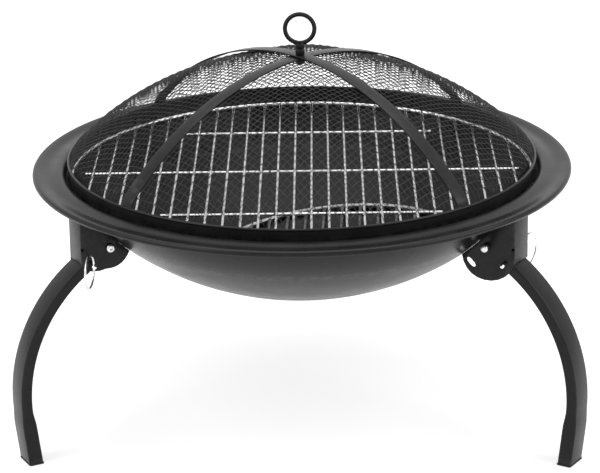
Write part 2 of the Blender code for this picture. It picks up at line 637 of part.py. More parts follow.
def pivot_nut(frame, place):
    """Round cap nut on the bolt's end."""
    face = -BRACKET_OUTSIDE - GAP
    bore = BOLT_RADIUS + GAP
    bore_end = face - NUT_BORE_DEPTH - GAP
    profile = [(0.0, bore_end), (bore, bore_end), (bore, face), (NUT_RADIUS, face)]
    round_start = face - NUT_HEIGHT + NUT_RADIUS / 2
    for i in range(BEND_SEGMENTS + 1):
        angle = math.pi / 2 * i / BEND_SEGMENTS
        profile.append((NUT_RADIUS * math.cos(angle), round_start - NUT_RADIUS / 2 * math.sin(angle)))
    nut = add(f"pivot_nut_{place}", turned(profile), frame, STEEL,
              (PIVOT_RADIUS, 0.0, -PIVOT_DROP), SIDEWAYS)
    turn(nut, HOLE_SIDES)


def lock_pin(frame, place):
    """Straight pin through the bracket and the leg, round at both ends, with a cross hole."""
    tip = -BRACKET_OUTSIDE - PIN_TIP
    tail = BRACKET_OUTSIDE + PIN_EYE + PIN_TAIL
    profile = []
    for i in range(BEND_SEGMENTS + 1):
        angle = math.pi / 2 * (1 - i / BEND_SEGMENTS)
        profile.append((PIN_RADIUS * math.cos(angle), tail - PIN_RADIUS * (1 - math.sin(angle))))
    for i in range(BEND_SEGMENTS + 1):
        angle = math.pi / 2 * i / BEND_SEGMENTS
        profile.append((PIN_RADIUS * math.cos(angle), tip + PIN_RADIUS * (1 - math.sin(angle))))
    pin = add(f"lock_pin_{place}", turned(profile), frame, CHROME, (PIN_PLACE.x, 0.0, PIN_PLACE.y), SIDEWAYS)
    turn(pin, HOLE_SIDES)
    eye = add(f"pin_eye_{place}", cylinder(PULL_WIRE + PULL_CLEARANCE, 4 * PIN_RADIUS), frame,
              location=(PIN_PLACE.x, BRACKET_OUTSIDE + PIN_EYE, PIN_PLACE.y))
    boolean(pin, eye, "DIFFERENCE")


def pull_ring(frame, place):
    """Ring through the lock pin's cross hole. It swings about the hole's upright line."""
    mesh = ring(PULL_RADIUS, PULL_WIRE, PULL_SEGMENTS)
    mesh.transform(Matrix.Translation((PULL_RADIUS, 0.0, 0.0)) @ Matrix.Rotation(math.pi / 2, 4, "X"))
    add(f"pull_ring_{place}", mesh, frame, CHROME,
        (PIN_PLACE.x, BRACKET_OUTSIDE + PIN_EYE, PIN_PLACE.y), (0.0, 0.0, math.pi / 2 - PULL_TURN[place]))


def leg_set(place, azimuth):
    """One leg with its bracket, pins and ring, in a frame whose X points out along the leg."""
    frame = empty(f"leg_frame_{place}", RIM, rotation=(0.0, 0.0, azimuth))
    bracket(frame, place)
    pivot_bolt(frame, place)
    pivot_nut(frame, place)
    foot_cap(leg(frame, place), place)
    lock_pin(frame, place)
    pull_ring(frame, place)


def grate_rods(radius, count, pitch, shift, height):
    """End points of parallel rods that all end on the middle of a ring's wire."""
    ends = []
    for i in range(count):
        x = (i - (count - 1) / 2) * pitch + shift
        half = math.sqrt(radius ** 2 - x ** 2)
        ends.append((Vector((x, -half, height)), Vector((x, half, height))))
    return ends


def level_bar(x, y, half, height):
    """End points of a bar along X, half its length to each side of x."""
    return Vector((x - half, y, height)), Vector((x + half, y, height))


def grate(name, radius, ring_wire, rod_ends, rod_wire, bar_ends, bar_wire, yaw, parent, surface, location):
    """A ring with rods across it and bars under the rods, welded into one piece."""
    piece = add(name, ring(radius, ring_wire, ROUND_STEPS), parent, surface, location)
    for kind, ends, wire in (("rods", rod_ends, rod_wire), ("bars", bar_ends, bar_wire)):
        mesh = rods(ends, wire)
        mesh.transform(Matrix.Rotation(yaw, 4, "Z"))
        boolean(piece, add(f"{name}_{kind}", mesh, parent, location=location), "UNION")


def below(rod_height, rod_wire, bar_wire):
    """Height of a bar that is welded under rods. The flats of both wires face each other."""
    return rod_height - (rod_wire + bar_wire) * math.cos(math.pi / WIRE_SIDES) + WELD


def cooking_grate():
    """The upper grate: its ring rests all round on the bowl's wall, just below the rim."""
    rod_height = WELD / 2
    half = GRATE_RADIUS - GRATE_ROD_INSET
    pitch = 2 * half / (GRATE_ROD_COUNT - 1)
    rod_ends = grate_rods(GRATE_RADIUS, GRATE_ROD_COUNT, pitch, GRATE_ROD_SHIFT, rod_height)
    height = below(rod_height, GRATE_ROD, GRATE_BAR)
    bar_ends = [level_bar(GRATE_ROD_SHIFT, 0.0, half + GRATE_BAR_OVERHANG, height)]
    for side in (-1, 1):
        place = side * (GRATE_RADIUS - GRATE_SIDE_BAR_INSET)
        bar_ends.append(level_bar(0.0, place, GRATE_SIDE_BAR_RODS * pitch, height))
    grate("cooking_grate", GRATE_RADIUS, GRATE_RING_WIRE, rod_ends, GRATE_ROD, bar_ends, GRATE_BAR,
          GRATE_YAW, RIM, CHROME, (0.0, 0.0, -GRATE_DROP))


def charcoal_grate():
    """The lower grate: it lies on the bowl's round floor, a little off centre."""
    rod_height = WELD / 2
    pitch = 2 * (CHARCOAL_RADIUS - CHARCOAL_ROD_INSET) / (CHARCOAL_ROD_COUNT - 1)
    rod_ends = grate_rods(CHARCOAL_RADIUS, CHARCOAL_ROD_COUNT, pitch, 0.0, rod_height)
    height = below(rod_height, CHARCOAL_ROD, CHARCOAL_BAR)
    bar_ends = [level_bar(0.0, 0.0, CHARCOAL_RADIUS - CHARCOAL_BAR, height)]
    pivot = empty("bowl_floor_centre", RIM, (0.0, 0.0, FLOOR_CENTRE), (0.0, -CHARCOAL_TURN, 0.0))
    grate("charcoal_grate", CHARCOAL_RADIUS, CHARCOAL_RING_WIRE, rod_ends, CHARCOAL_ROD, bar_ends,
          CHARCOAL_BAR, 0.0, pivot, WIRE_STEEL, (0.0, 0.0, -CHARCOAL_LEVEL - FLOOR_CENTRE))


def lid_hoop():
    """Upright band with a rolled bead along its top. It stands on the cooking grate's ring."""
    half = HOOP_SHEET / 2
    opens = math.acos(half / HOOP_BEAD)
    profile = arc((HOOP_MIDDLE, BEAD_CENTRE), HOOP_BEAD, math.pi + opens, -opens, BEND_SEGMENTS + 1)
    profile += [(HOOP_MIDDLE + half, HOOP_BOTTOM), (HOOP_MIDDLE - half, HOOP_BOTTOM)]
    hoop = add("lid_hoop", turned(profile, closed=True), RIM, PAINT)
    turn(hoop, ROUND_STEPS)


def dome_arc(crown, outset):
    """Height of the big arc's centre, and the angle where it runs into the shoulder."""
    rise = crown - SHOULDER_RADIUS - outset
    centre = ((rise ** 2 - SHOULDER_CENTRE.x ** 2 - SHOULDER_CENTRE.y ** 2)
              / (2 * (rise - SHOULDER_CENTRE.y)))
    return centre, math.atan2(SHOULDER_CENTRE.y - centre, SHOULDER_CENTRE.x)


def dome_line(crown, outset, shoulder_end, segments):
    """Line from the middle of the dome to its edge: a big arc, then a tight shoulder. The
    shoulder is outset from the mesh's own, and crown is the line's height over the rim."""
    centre, meet = dome_arc(crown, outset)
    points = arc((0.0, centre), crown - centre, math.pi / 2, meet, segments)
    return points + arc(SHOULDER_CENTRE, SHOULDER_RADIUS + outset, meet, shoulder_end, SHOULDER_SEGMENTS)[1:]


def mesh_point(u, v):
    """Point of the mesh's outer face over a place in plan. Between the straps it bulges, as the
    fourth power of a sine round the lid and the square of one outward."""
    centre, meet = dome_arc(DOME_HEIGHT, 0.0)
    radius = math.hypot(u, v)
    if radius <= SHOULDER_CENTRE.x + SHOULDER_RADIUS * math.cos(meet):
        height = centre + math.sqrt((DOME_HEIGHT - centre) ** 2 - radius ** 2)
    else:
        inward = min(radius - SHOULDER_CENTRE.x, SHOULDER_RADIUS)
        height = SHOULDER_CENTRE.y + math.sqrt(SHOULDER_RADIUS ** 2 - inward ** 2)
    height += (GORE_RISE * math.sin(2 * math.atan2(v, u)) ** 4
               * math.sin(math.pi * min(radius / MESH_EDGE_RADIUS, 1.0)) ** 2)
    return (u, v, height)


def lid_mesh():
    """The domed mesh as a thin skin with four bulging gores. Its inner edge is the stud's hole
    and its outer edge lies just inside the hoop's bead."""
    line = dome_line(DOME_HEIGHT, 0.0, 0.0, MESH_SEGMENTS)
    radii = [STUD_RADIUS + RUNNING] + [radius for radius, height in line[1:]]
    rings = [[mesh_point(*place) for place in arc((0.0, 0.0), radius, 0.0, 2 * math.pi, ROUND_STEPS)[:-1]]
             for radius in radii]
    skin = add("lid_mesh", loft(rings, False), RIM, MESH, rotation=(0.0, 0.0, MESH_TURN))
    solidify(skin, MESH_THICKNESS)


def lid_strap(name, azimuth, rise):
    """Flat strap over the mesh, from one side of the hoop's bead to the other."""
    inner = GAP
    outer = GAP + STRAP_THICKNESS
    bead_distance = HOOP_MIDDLE - SHOULDER_CENTRE.x
    stop = math.asin((HOOP_BEAD + 2 * GAP) / bead_distance)
    top = dome_line(DOME_HEIGHT + outer + rise, outer, stop, STRAP_SEGMENTS)
    bottom = dome_line(DOME_HEIGHT + inner + rise, inner, stop, STRAP_SEGMENTS)
    half = top[:0:-1] + [top[0]]
    points = half + [(-x, z) for x, z in top[1:]]
    points += [(-x, z) for x, z in bottom[:0:-1]] + bottom
    strap = add(f"strap_{name}", outline(points, STRAP_WIDTH), RIM, PAINT,
                rotation=(math.pi / 2, 0.0, azimuth))
    stud_hole = add(f"stud_hole_{name}", cylinder(STUD_RADIUS + RUNNING, DOME_HEIGHT), RIM,
                    location=(0.0, 0.0, DOME_HEIGHT))
    boolean(strap, stud_hole, "DIFFERENCE")


def handle():
    """Ring handle standing in a saddle on its collar, with the stud and nut that hold it."""
    bottom = HANDLE_CENTRE - HANDLE_RADIUS
    nut_top = DOME_HEIGHT - MESH_THICKNESS - GAP
    stud_end = nut_top - STUD_NUT_HEIGHT - STUD_END
    collar_foot = STRAP_TOP + GAP
    profile = [(0.0, bottom), (COLLAR_RADIUS - COLLAR_CHAMFER, bottom),
               (COLLAR_RADIUS, bottom - COLLAR_CHAMFER), (COLLAR_RADIUS, collar_foot),
               (STUD_RADIUS, collar_foot), (STUD_RADIUS, stud_end), (0.0, stud_end)]
    collar = add("handle_collar", turned(profile), RIM, PAINT)
    turn(collar, 2 * HOLE_SIDES)
    saddle = ring(HANDLE_RADIUS, HANDLE_WIRE + GAP, HANDLE_SEGMENTS, HANDLE_SIDES)
    boolean(collar, add("saddle", saddle, RIM, location=(0.0, 0.0, HANDLE_CENTRE), rotation=UPRIGHT),
            "DIFFERENCE")
    add("handle_ring", ring(HANDLE_RADIUS, HANDLE_WIRE, HANDLE_SEGMENTS, HANDLE_SIDES), RIM, PAINT,
        (0.0, 0.0, HANDLE_CENTRE), UPRIGHT)
    bore = (STUD_RADIUS + GAP) / math.cos(math.pi / WIRE_SIDES)
    nut = [(STUD_NUT_RADIUS, nut_top), (STUD_NUT_RADIUS, nut_top - STUD_NUT_HEIGHT),
           (bore, nut_top - STUD_NUT_HEIGHT), (bore, nut_top)]
    turn(add("handle_nut", turned(nut, closed=True), RIM, PAINT), WIRE_SIDES)


clear_scene()
PARTS = new_collection("folding_fire_pit")
CUTTERS = new_collection("cutters")
PAINT = material("satin_black_paint", (0.030, 0.030, 0.032), 0.42, 0.25)
MESH = material("black_wire_mesh", (0.020, 0.020, 0.021), 0.50, 0.40)
CHROME = material("chrome_wire", (0.62, 0.62, 0.63), 0.18, 1.0)
WIRE_STEEL = material("grey_steel_wire", (0.33, 0.33, 0.34), 0.38, 1.0)
STEEL = material("zinc_plated_steel", (0.58, 0.58, 0.58), 0.28, 1.0)
PLASTIC = material("black_plastic", (0.018, 0.018, 0.018), 0.60, 0.0)

RIM = empty("rim_centre", location=(0.0, AXIS_Y, RIM_HEIGHT))
fire_bowl()
for leg_place, leg_azimuth in LEG_AZIMUTHS.items():
    leg_set(leg_place, leg_azimuth)
charcoal_grate()
cooking_grate()
lid_hoop()
lid_mesh()
lid_strap("lower", STRAP_AZIMUTHS["lower"], 0.0)
lid_strap("upper", STRAP_AZIMUTHS["upper"], UPPER_STRAP_RISE)
handle()
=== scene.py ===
import math

import bmesh
import bpy
import numpy as np
from mathutils import Matrix, Vector


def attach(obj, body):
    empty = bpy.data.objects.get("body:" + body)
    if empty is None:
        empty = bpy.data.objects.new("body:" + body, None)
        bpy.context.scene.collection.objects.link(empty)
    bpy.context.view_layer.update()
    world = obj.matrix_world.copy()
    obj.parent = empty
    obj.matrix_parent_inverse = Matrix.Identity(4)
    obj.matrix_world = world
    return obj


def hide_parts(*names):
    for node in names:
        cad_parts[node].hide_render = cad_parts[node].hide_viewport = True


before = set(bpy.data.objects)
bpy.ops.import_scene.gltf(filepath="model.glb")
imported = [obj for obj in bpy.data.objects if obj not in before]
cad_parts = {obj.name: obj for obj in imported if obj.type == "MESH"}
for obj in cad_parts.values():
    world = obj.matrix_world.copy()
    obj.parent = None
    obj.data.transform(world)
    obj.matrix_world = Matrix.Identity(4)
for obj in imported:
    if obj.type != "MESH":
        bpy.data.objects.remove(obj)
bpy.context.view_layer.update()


# Sizes in metres. Heights are taken from the crown of the rim, radii from the pit's own axis
AXIS_Y = -0.023638
RIM_HEIGHT = 0.260
GAP = 0.0003

# Bowl
RIM_RADIUS = 0.270
SHEET = 0.0012
ROLL_RADIUS = 0.003
ROLL_TUCK = math.radians(50)
TROUGH_DEPTH = 0.00175
FLANGE_BEND = 0.0038
BOWL_RADIUS = 0.3035
FLOOR_CENTRE = 0.1746
KNEE_START = 0.205
KNEE_RADIUS = 0.1475
KNEE_SLOPE = math.asin(KNEE_START / BOWL_RADIUS)
KNEE_CENTRE_RADIUS = (BOWL_RADIUS - KNEE_RADIUS) * math.sin(KNEE_SLOPE)
KNEE_CENTRE = FLOOR_CENTRE - (BOWL_RADIUS - KNEE_RADIUS) * math.cos(KNEE_SLOPE)
MOUTH_SLOPE = math.acos((KNEE_CENTRE + FLANGE_BEND + SHEET) / (KNEE_RADIUS + FLANGE_BEND))

# Legs, in an upright plane through the pit's axis. Distances run from the pivot down the leg
AZIMUTHS = {"rear": math.radians(90), "left": math.radians(210), "right": math.radians(330)}
PIVOT_RADIUS = 0.218996
PIVOT_DROP = 0.048198
LEG_SLOPE = math.radians(36.5)
LEG_STUB = 0.0055
LEG_STRAIGHT = 0.0381
LEG_BEND = 0.1524
FOOT_LEAN = math.radians(6.9)
LEG_SWEEP = math.pi / 2 + FOOT_LEAN - LEG_SLOPE
LEG_DEPTH = 0.0112
FOOT_DEPTH = 0.0144
FOOT_BLEND = 0.020
LEG_WIDTH = 0.0276
FOOT_WIDTH = 0.0260
LEG_WALL = 0.0015
LEG_CORNER = 0.0020
CAP_LIP = 0.0015
CAP_PROUD = 0.0005
CAP_PLUG = 0.014
CAP_ROUND = 0.0004
FOOT_END = CAP_LIP + GAP

# Brackets, bolts, pins and rings
WEB_RADIUS = 0.248996
CHEEK = 0.0158              # outer face of a bracket's side, from the leg's middle
BRACKET_EDGE = 0.0003       # how far its sheared edges are broken
RELIEF_RADIUS = 0.0015      # small hole through each of its bends
RELIEF_INSET = 0.0010       # the hole's middle, in from both outer faces
RELIEF_DROP = 0.046
BOLT_HOLE = 0.0033
BOLT_RADIUS = 0.0030
BOLT_TAIL = 0.0042          # shank beyond the bracket, inside the nut
HEAD_RADIUS = 0.0045
HEAD_HEIGHT = 0.0030
HEAD_CROWN = 1.15           # where the head's dome starts, as a share of the socket's radius
SOCKET_RADIUS = 0.0016
SOCKET_DEPTH = 0.0012
SOCKET_EDGE = 0.0002
NUT_RADIUS = 0.0041
NUT_HEIGHT = 0.0056
NUT_EDGE = 0.0003
PIN_REACH = 0.0245
PIN_RADIUS = 0.0025
PIN_HOLE = 0.0028
PIN_TIP = 0.0060
PIN_EYE = 0.0042
PIN_TAIL = 0.0036
PIN_X = PIVOT_RADIUS + PIN_REACH * math.cos(LEG_SLOPE)
PIN_Z = -PIVOT_DROP - PIN_REACH * math.sin(LEG_SLOPE)
PULL_WIRE = 0.0011
PULL_HOLE = 0.0015          # cross hole in the pin, for the ring
PULL_RADIUS = 0.016
# How far round from the pin's own line each ring hangs
PULL_TURN = {"rear": math.radians(15), "left": math.radians(38), "right": 0.0}

# Grates
GRATE_RADIUS = 0.231233
GRATE_DROP = 0.009
GRATE_RING = 0.0025
GRATE_ROD = 0.0014
GRATE_RODS = 26
GRATE_ROD_INSET = 0.020
GRATE_SHIFT = 0.0013
GRATE_YAW = math.radians(2)
GRATE_BAR = 0.0016
GRATE_OVERHANG = 0.0055
SIDE_BAR_INSET = 0.101
SIDE_BAR_RODS = 8
WELD = 0.0004               # how deep welded wires sink into each other
WELD_BEAD = 0.0015
WELD_FLATNESS = 0.8
ROD_END = 0.6               # stretch at a rod's end, as a share of its radius
CHARCOAL_RADIUS = 0.1288
CHARCOAL_DROP = 0.095
CHARCOAL_TURN = math.radians(5.9)
CHARCOAL_RING = 0.0025
CHARCOAL_ROD = 0.0016
CHARCOAL_RODS = 14
CHARCOAL_ROD_INSET = 0.004
CHARCOAL_BAR = 0.0020
CHARCOAL_BEAD = 0.0016

# Lid
HOOP_MIDDLE = 0.233633
HOOP_BOTTOM = -0.0062
HOOP_SHEET = 0.0012
BEAD = 0.0014
BEAD_CENTRE = 0.0086
HOOP_WELD = 0.0013          # weld mark on the bead
HOOP_WELD_SIDE = 0.0058     # its middle, from a strap's middle
HOOP_WELD_RISE = 0.7        # and above the bead's middle, as a share of the bead's radius
MESH_EDGE = 0.2312
DOME_HEIGHT = 0.1075
SHOULDER = 0.012
SHOULDER_CENTRE = (MESH_EDGE - SHOULDER, BEAD_CENTRE)
GORE_RISE = 0.0025
MESH_PITCH = 0.0057
MESH_WIRE = 0.00038
MESH_TURN = math.radians(2)
STRAP_UNDER = math.radians(47)
STRAP_OVER = math.radians(133)
STRAP_WIDTH = 0.015
STRAP_THICKNESS = 0.0015
STRAP_EDGE = 0.0005
STRAP_STEP = STRAP_THICKNESS + GAP
STRAP_TOP = DOME_HEIGHT + 2 * STRAP_STEP
STUD_RADIUS = 0.0025
STUD_NUT = 0.0048
STUD_NUT_HEIGHT = 0.0035
STUD_NUT_TOP = DOME_HEIGHT - 0.0015
STUD_TAIL = 0.0015
COLLAR_RADIUS = 0.00475
COLLAR_HEIGHT = 0.01155
COLLAR_SWELL = 0.10         # how much its barrels bulge, as a share of its radius
HANDLE_WIRE = 0.00225
HANDLE_RADIUS = 0.0146
HANDLE_CENTRE = STRAP_TOP + GAP + COLLAR_HEIGHT + HANDLE_RADIUS
EYE_RADIUS = 0.0017         # small eye on the front of the ring's foot
EYE_WIRE = 0.0007
EYE_PROUD = 0.0002

# Studio. The camera was fitted to the photograph, in its pixels
PICTURE = (600, 473)
FOCAL_LENGTH = 2584.6
RIM_CENTRE_PIXEL = (301.73, 160.80)
SENSOR = 36.0
CAMERA_REACH = 2.6
CAMERA_RISE = math.radians(17.96)
CAMERA_AZIMUTH = math.radians(-87.5)
CAMERA_ROLL = math.radians(-0.9)
LAMPS = (("left", (-1.5, -0.9, 1.5), 1.4, 16.0),        # name, place, width and power
         ("right", (1.6, -0.6, 1.3), 1.4, 16.0),
         ("above", (0.0, 0.3, 2.2), 1.8, 18.0))
LAMP_TARGET = (0.0, 0.0, 0.2)
WORLD_LIGHT = 0.40          # on surfaces; what is seen of it directly is 1
FLOOR_SIZE = 30.0
FLOOR_SHADE = 0.86
FLOOR_GLOW = 0.60           # for what sees the floor directly


def arc(centre, radius, start, end, count):
    """Round stretch of a line: centre plus radius times cosine and sine of an even run of angles."""
    angle = np.linspace(start, end, count)
    return np.stack((centre[0] + radius * np.cos(angle), centre[1] + radius * np.sin(angle)), -1)


def joined(*lines):
    """Lines end to end as one, with points that fall on the one before them left out."""
    line = np.concatenate(lines)
    apart = np.linalg.norm(np.diff(line, axis=0), axis=1) > 1e-7
    return line[np.concatenate(([True], apart))]


def beside(line, distance):
    """Line that runs at a distance to the left of another: each point moves along its own normal."""
    along = np.gradient(line, axis=0)
    along /= np.linalg.norm(along, axis=1)[:, None]
    return line + distance * np.stack((-along[:, 1], along[:, 0]), -1)


def skin(loops, closed=False, poles=None):
    """Points and faces over an array of loops. Each loop joins the next one. Where the row of
    loops isn't closed, its ends are fans of triangles about a pole or about the loop's middle."""
    rows, count, _ = loops.shape
    i = np.arange(rows if closed else rows - 1)[:, None]
    j = np.arange(count)[None, :]
    following = (j + 1) % count
    quads = np.stack(np.broadcast_arrays(i * count + j, i * count + following,
                                         (i + 1) % rows * count + following,
                                         (i + 1) % rows * count + j), -1).reshape(-1, 4)
    points = loops.reshape(-1, 3)
    triangles = np.zeros((0, 3), int)
    if not closed:
        ends = poles if poles is not None else (loops[0].mean(0), loops[-1].mean(0))
        points = np.vstack((points, ends))
        j = j[0]
        following = following[0]
        last = (rows - 1) * count
        first_fan = np.stack((following, j, np.full(count, rows * count)), -1)
        last_fan = np.stack((last + j, last + following, np.full(count, rows * count + 1)), -1)
        triangles = np.vstack((first_fan, last_fan))
    corner = np.vstack((quads[:, :3], quads[:, (0, 2, 3)], triangles))
    a, b, c = (points[corner[:, k]] - points.mean(0) for k in range(3))
    if np.einsum("ij,ij->i", a, np.cross(b, c)).sum() < 0:
        quads = quads[:, ::-1]
        triangles = triangles[:, ::-1]
    return points, quads, triangles


def revolved(profile, steps=256, closed=False, sixfold=0.0):
    """A profile of radius and height carried round Z. An end on the axis becomes a pole. Where
    sixfold is 1 the radius is a hexagon's: the corner's radius times cos 30 over the cosine of
    the angle from the middle of its side."""
    profile = np.asarray(profile, float)
    sixfold = np.broadcast_to(np.asarray(sixfold, float), len(profile))
    poles = None
    if not closed:
        poles = np.array([(0.0, 0.0, profile[0, 1]), (0.0, 0.0, profile[-1, 1])])
        keep = profile[:, 0] > 1e-9
        profile = profile[keep]
        sixfold = sixfold[keep]
    turn = np.arange(steps) * 2 * np.pi / steps
    side = math.cos(math.pi / 6) / np.cos(np.mod(turn, math.pi / 3) - math.pi / 6)
    radius = profile[:, :1] * (1.0 + sixfold[:, None] * (side - 1.0))
    loops = np.stack((radius * np.cos(turn), radius * np.sin(turn),
                      np.repeat(profile[:, 1:], steps, 1)), -1)
    return skin(loops, closed, poles)


def tube(path, radius, across, sides=12, closed=False):
    """Round wire: a circle carried along a path that lies in the plane square to across."""
    path = np.asarray(path, float)
    if closed:
        along = np.roll(path, -1, 0) - np.roll(path, 1, 0)
    else:
        along = np.gradient(path, axis=0)
    along /= np.linalg.norm(along, axis=1)[:, None]
    across = np.asarray(across, float) / np.linalg.norm(across)
    up = np.cross(along, across)
    turn = np.arange(sides) * 2 * np.pi / sides
    loops = (path[:, None] + radius * (np.cos(turn)[None, :, None] * up[:, None]
                                       + np.sin(turn)[None, :, None] * across))
    return skin(loops, closed)


def level_ring(radius, wire, steps=256, sides=12):
    """Round wire bent into a ring about Z: a circle of wire carried round a circle."""
    turn = np.arange(steps) * 2 * np.pi / steps
    path = np.stack((radius * np.cos(turn), radius * np.sin(turn), np.zeros(steps)), -1)
    return tube(path, wire, (0.0, 0.0, 1.0), sides, closed=True)


def upright_ring(radius, wire, steps=96, sides=16):
    """The same ring stood up: its circle lies in X and Z."""
    turn = np.arange(steps) * 2 * np.pi / steps
    path = np.stack((radius * np.cos(turn), np.zeros(steps), radius * np.sin(turn)), -1)
    return tube(path, wire, (0.0, 1.0, 0.0), sides, closed=True)


def drill(radius, low, high, steps):
    """Round bar along Z from low to high, which cuts a hole."""
    return revolved([(0.0, low), (radius, low), (radius, high), (0.0, high)], steps)


def moved(shape, place=(0.0, 0.0, 0.0), turn=None):
    """A skin turned by a 3 x 3 matrix and then moved to a place."""
    points, quads, triangles = shape
    if turn is not None:
        points = points @ np.asarray(turn).T
    return points + np.asarray(place), quads, triangles


def about(axis, angle):
    """3 x 3 matrix that turns about X, Y or Z."""
    return np.array(Matrix.Rotation(angle, 3, axis))


def at_leg(shape, azimuth):
    """From a leg's own frame, X out along it and Y across it, to the pit's."""
    return moved(shape, turn=about("Z", azimuth))


def lying(shape, x, z):
    """A turned shape laid along Y, with its foot at the leg's middle."""
    return moved(shape, (x, 0.0, z), about("X", -math.pi / 2))


def in_pit(points):
    """From the rim's centre to the ground's frame."""
    return points + np.array((0.0, AXIS_Y, RIM_HEIGHT))


def mesh_object(name, skins):
    """One object from a list of skins, in the ground's frame."""
    points = []
    faces = []
    count = 0
    for skin_points, quads, triangles in skins:
        points.append(skin_points)
        faces += (quads + count).tolist() + (triangles + count).tolist()
        count += len(skin_points)
    mesh = bpy.data.meshes.new(name)
    mesh.from_pydata(in_pit(np.vstack(points)).tolist(), [], faces)
    made = bpy.data.objects.new(name, mesh)
    bpy.context.scene.collection.objects.link(made)
    return made


def settle(made, name):
    """Puts an object's modifiers into its mesh."""
    shaped = made.evaluated_get(bpy.context.evaluated_depsgraph_get())
    mesh = bpy.data.meshes.new_from_object(shaped)
    made.modifiers.clear()
    made.data = mesh
    mesh.name = name


def cut(made, cutters):
    """Takes the cutters' shapes out of an object, one exact Boolean each."""
    others = [mesh_object("cutter", [cutter]) for cutter in cutters]
    for other in others:
        step = made.modifiers.new("cut", "BOOLEAN")
        step.object = other
        step.operation = "DIFFERENCE"
        step.solver = "EXACT"
    settle(made, made.name)
    for other in others:
        bpy.data.objects.remove(other)


def finished(made, material, slot, body, nodes, sharp):
    """Shading, material and place in the assembly of one piece."""
    mesh = made.data
    mesh.shade_smooth()
    mesh.set_sharp_from_angle(angle=math.radians(sharp))
    mesh.materials.clear()
    mesh.materials.append(material)
    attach(made, body)
    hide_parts(*nodes)
    return made


def piece(name, skins, finish, body, nodes, sharp=40, cutters=()):
    """One piece from a list of skins. It rides on a body and stands for CAD nodes."""
    made = mesh_object(name, skins)
    if cutters:
        cut(made, cutters)
    return finished(made, *finish, body, nodes, sharp)


def rounded_copy(node, name, finish, body, edge, cutters, corner=35):
    """A plain node's mesh with doubles merged, flat faces joined, cuts made and edges rounded.
    An edge that turns by more degrees than corner is one to round."""
    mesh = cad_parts[node].data.copy()
    work = bmesh.new()
    work.from_mesh(mesh)
    bmesh.ops.remove_doubles(work, verts=work.verts, dist=1e-6)
    bmesh.ops.dissolve_limit(work, angle_limit=math.radians(1), verts=work.verts, edges=work.edges)
    work.to_mesh(mesh)
    work.free()
    made = bpy.data.objects.new(name, mesh)
    bpy.context.scene.collection.objects.link(made)
    cut(made, cutters)
    bevel = made.modifiers.new("edges", "BEVEL")
    bevel.width = edge
    bevel.segments = 2
    bevel.limit_method = "ANGLE"
    bevel.angle_limit = math.radians(corner)
    settle(made, name)
    return finished(made, *finish, body, [node], corner)


def node_group(name, inputs, outputs):
    """Empty shader group with named number sockets."""
    made = bpy.data.node_groups.new(name, "ShaderNodeTree")
    for label, value in inputs:
        socket = made.interface.new_socket(label, in_out="INPUT", socket_type="NodeSocketFloat")
        socket.default_value = value
    for label in outputs:
        made.interface.new_socket(label, in_out="OUTPUT", socket_type="NodeSocketFloat")
    return made, made.nodes.new("NodeGroupInput"), made.nodes.new("NodeGroupOutput")


def noise(tree, scale, detail):
    """Noise on the piece's own coordinates, at a scale that another node gives."""
    place = tree.nodes.new("ShaderNodeTexCoord").outputs["Object"]
    made = tree.nodes.new("ShaderNodeTexNoise")
    made.inputs["Detail"].default_value = detail
    tree.links.new(place, made.inputs["Vector"])
    tree.links.new(scale, made.inputs["Scale"])
    return made.outputs["Fac"]


def spread(tree, value, low, high, to_low=0.0, to_high=1.0):
    """Value taken from one range to another, held at the ends."""
    made = tree.nodes.new("ShaderNodeMapRange")
    for label, given in (("From Min", low), ("From Max", high), ("To Min", to_low), ("To Max", to_high)):
        made.inputs[label].default_value = given
    tree.links.new(value, made.inputs["Value"])
    return made.outputs["Result"]


def times(tree, one, other):
    """Product of a node's value with a number or another node's value."""
    made = tree.nodes.new("ShaderNodeMath")
    made.operation = "MULTIPLY"
    tree.links.new(one, made.inputs[0])
    if isinstance(other, float):
        made.inputs[1].default_value = other
    else:
        tree.links.new(other, made.inputs[1])
    return made.outputs[0]


def grain_group():
    """Broad mottle and fine grain, both from noise."""
    tree, given, out = node_group("grain", (("Mottle Scale", 30.0), ("Grain Scale", 900.0)),
                                  ("Mottle", "Grain"))
    mottle = spread(tree, noise(tree, given.outputs["Mottle Scale"], 4.0), 0.3, 0.7)
    tree.links.new(mottle, out.inputs["Mottle"])
    tree.links.new(noise(tree, given.outputs["Grain Scale"], 2.0), out.inputs["Grain"])
    return tree


def wear_group():
    """Where edges stick out, broken up by noise: the paint is thin there and handling polishes it."""
    tree, given, out = node_group("edge wear", (("Patch Scale", 160.0),), ("Wear",))
    edges = spread(tree, tree.nodes.new("ShaderNodeNewGeometry").outputs["Pointiness"], 0.515, 0.60)
    patches = spread(tree, noise(tree, given.outputs["Patch Scale"], 3.0), 0.42, 0.62)
    tree.links.new(times(tree, edges, patches), out.inputs["Wear"])
    return tree


def dust_group():
    """Pale film on what faces up: the upward part of the normal times a slow noise."""
    tree, given, out = node_group("settled dust", (("Patch Scale", 14.0),), ("Dust",))
    split = tree.nodes.new("ShaderNodeSeparateXYZ")
    tree.links.new(tree.nodes.new("ShaderNodeNewGeometry").outputs["Normal"], split.inputs[0])
    up = spread(tree, split.outputs["Z"], 0.35, 1.0)
    patches = spread(tree, noise(tree, given.outputs["Patch Scale"], 5.0), 0.38, 0.72)
    tree.links.new(times(tree, up, patches), out.inputs["Dust"])
    return tree


GRAIN = grain_group()
WEAR = wear_group()
DUST = dust_group()
DUST_COLOUR = (0.30, 0.29, 0.28)
GRAIN_DEPTH = 0.0004


def shared(tree, group, **values):
    """Outputs of a shared group, placed in a material with its own values."""
    made = tree.nodes.new("ShaderNodeGroup")
    made.node_tree = group
    for label, value in values.items():
        made.inputs[label.replace("_", " ")].default_value = value
    return made.outputs


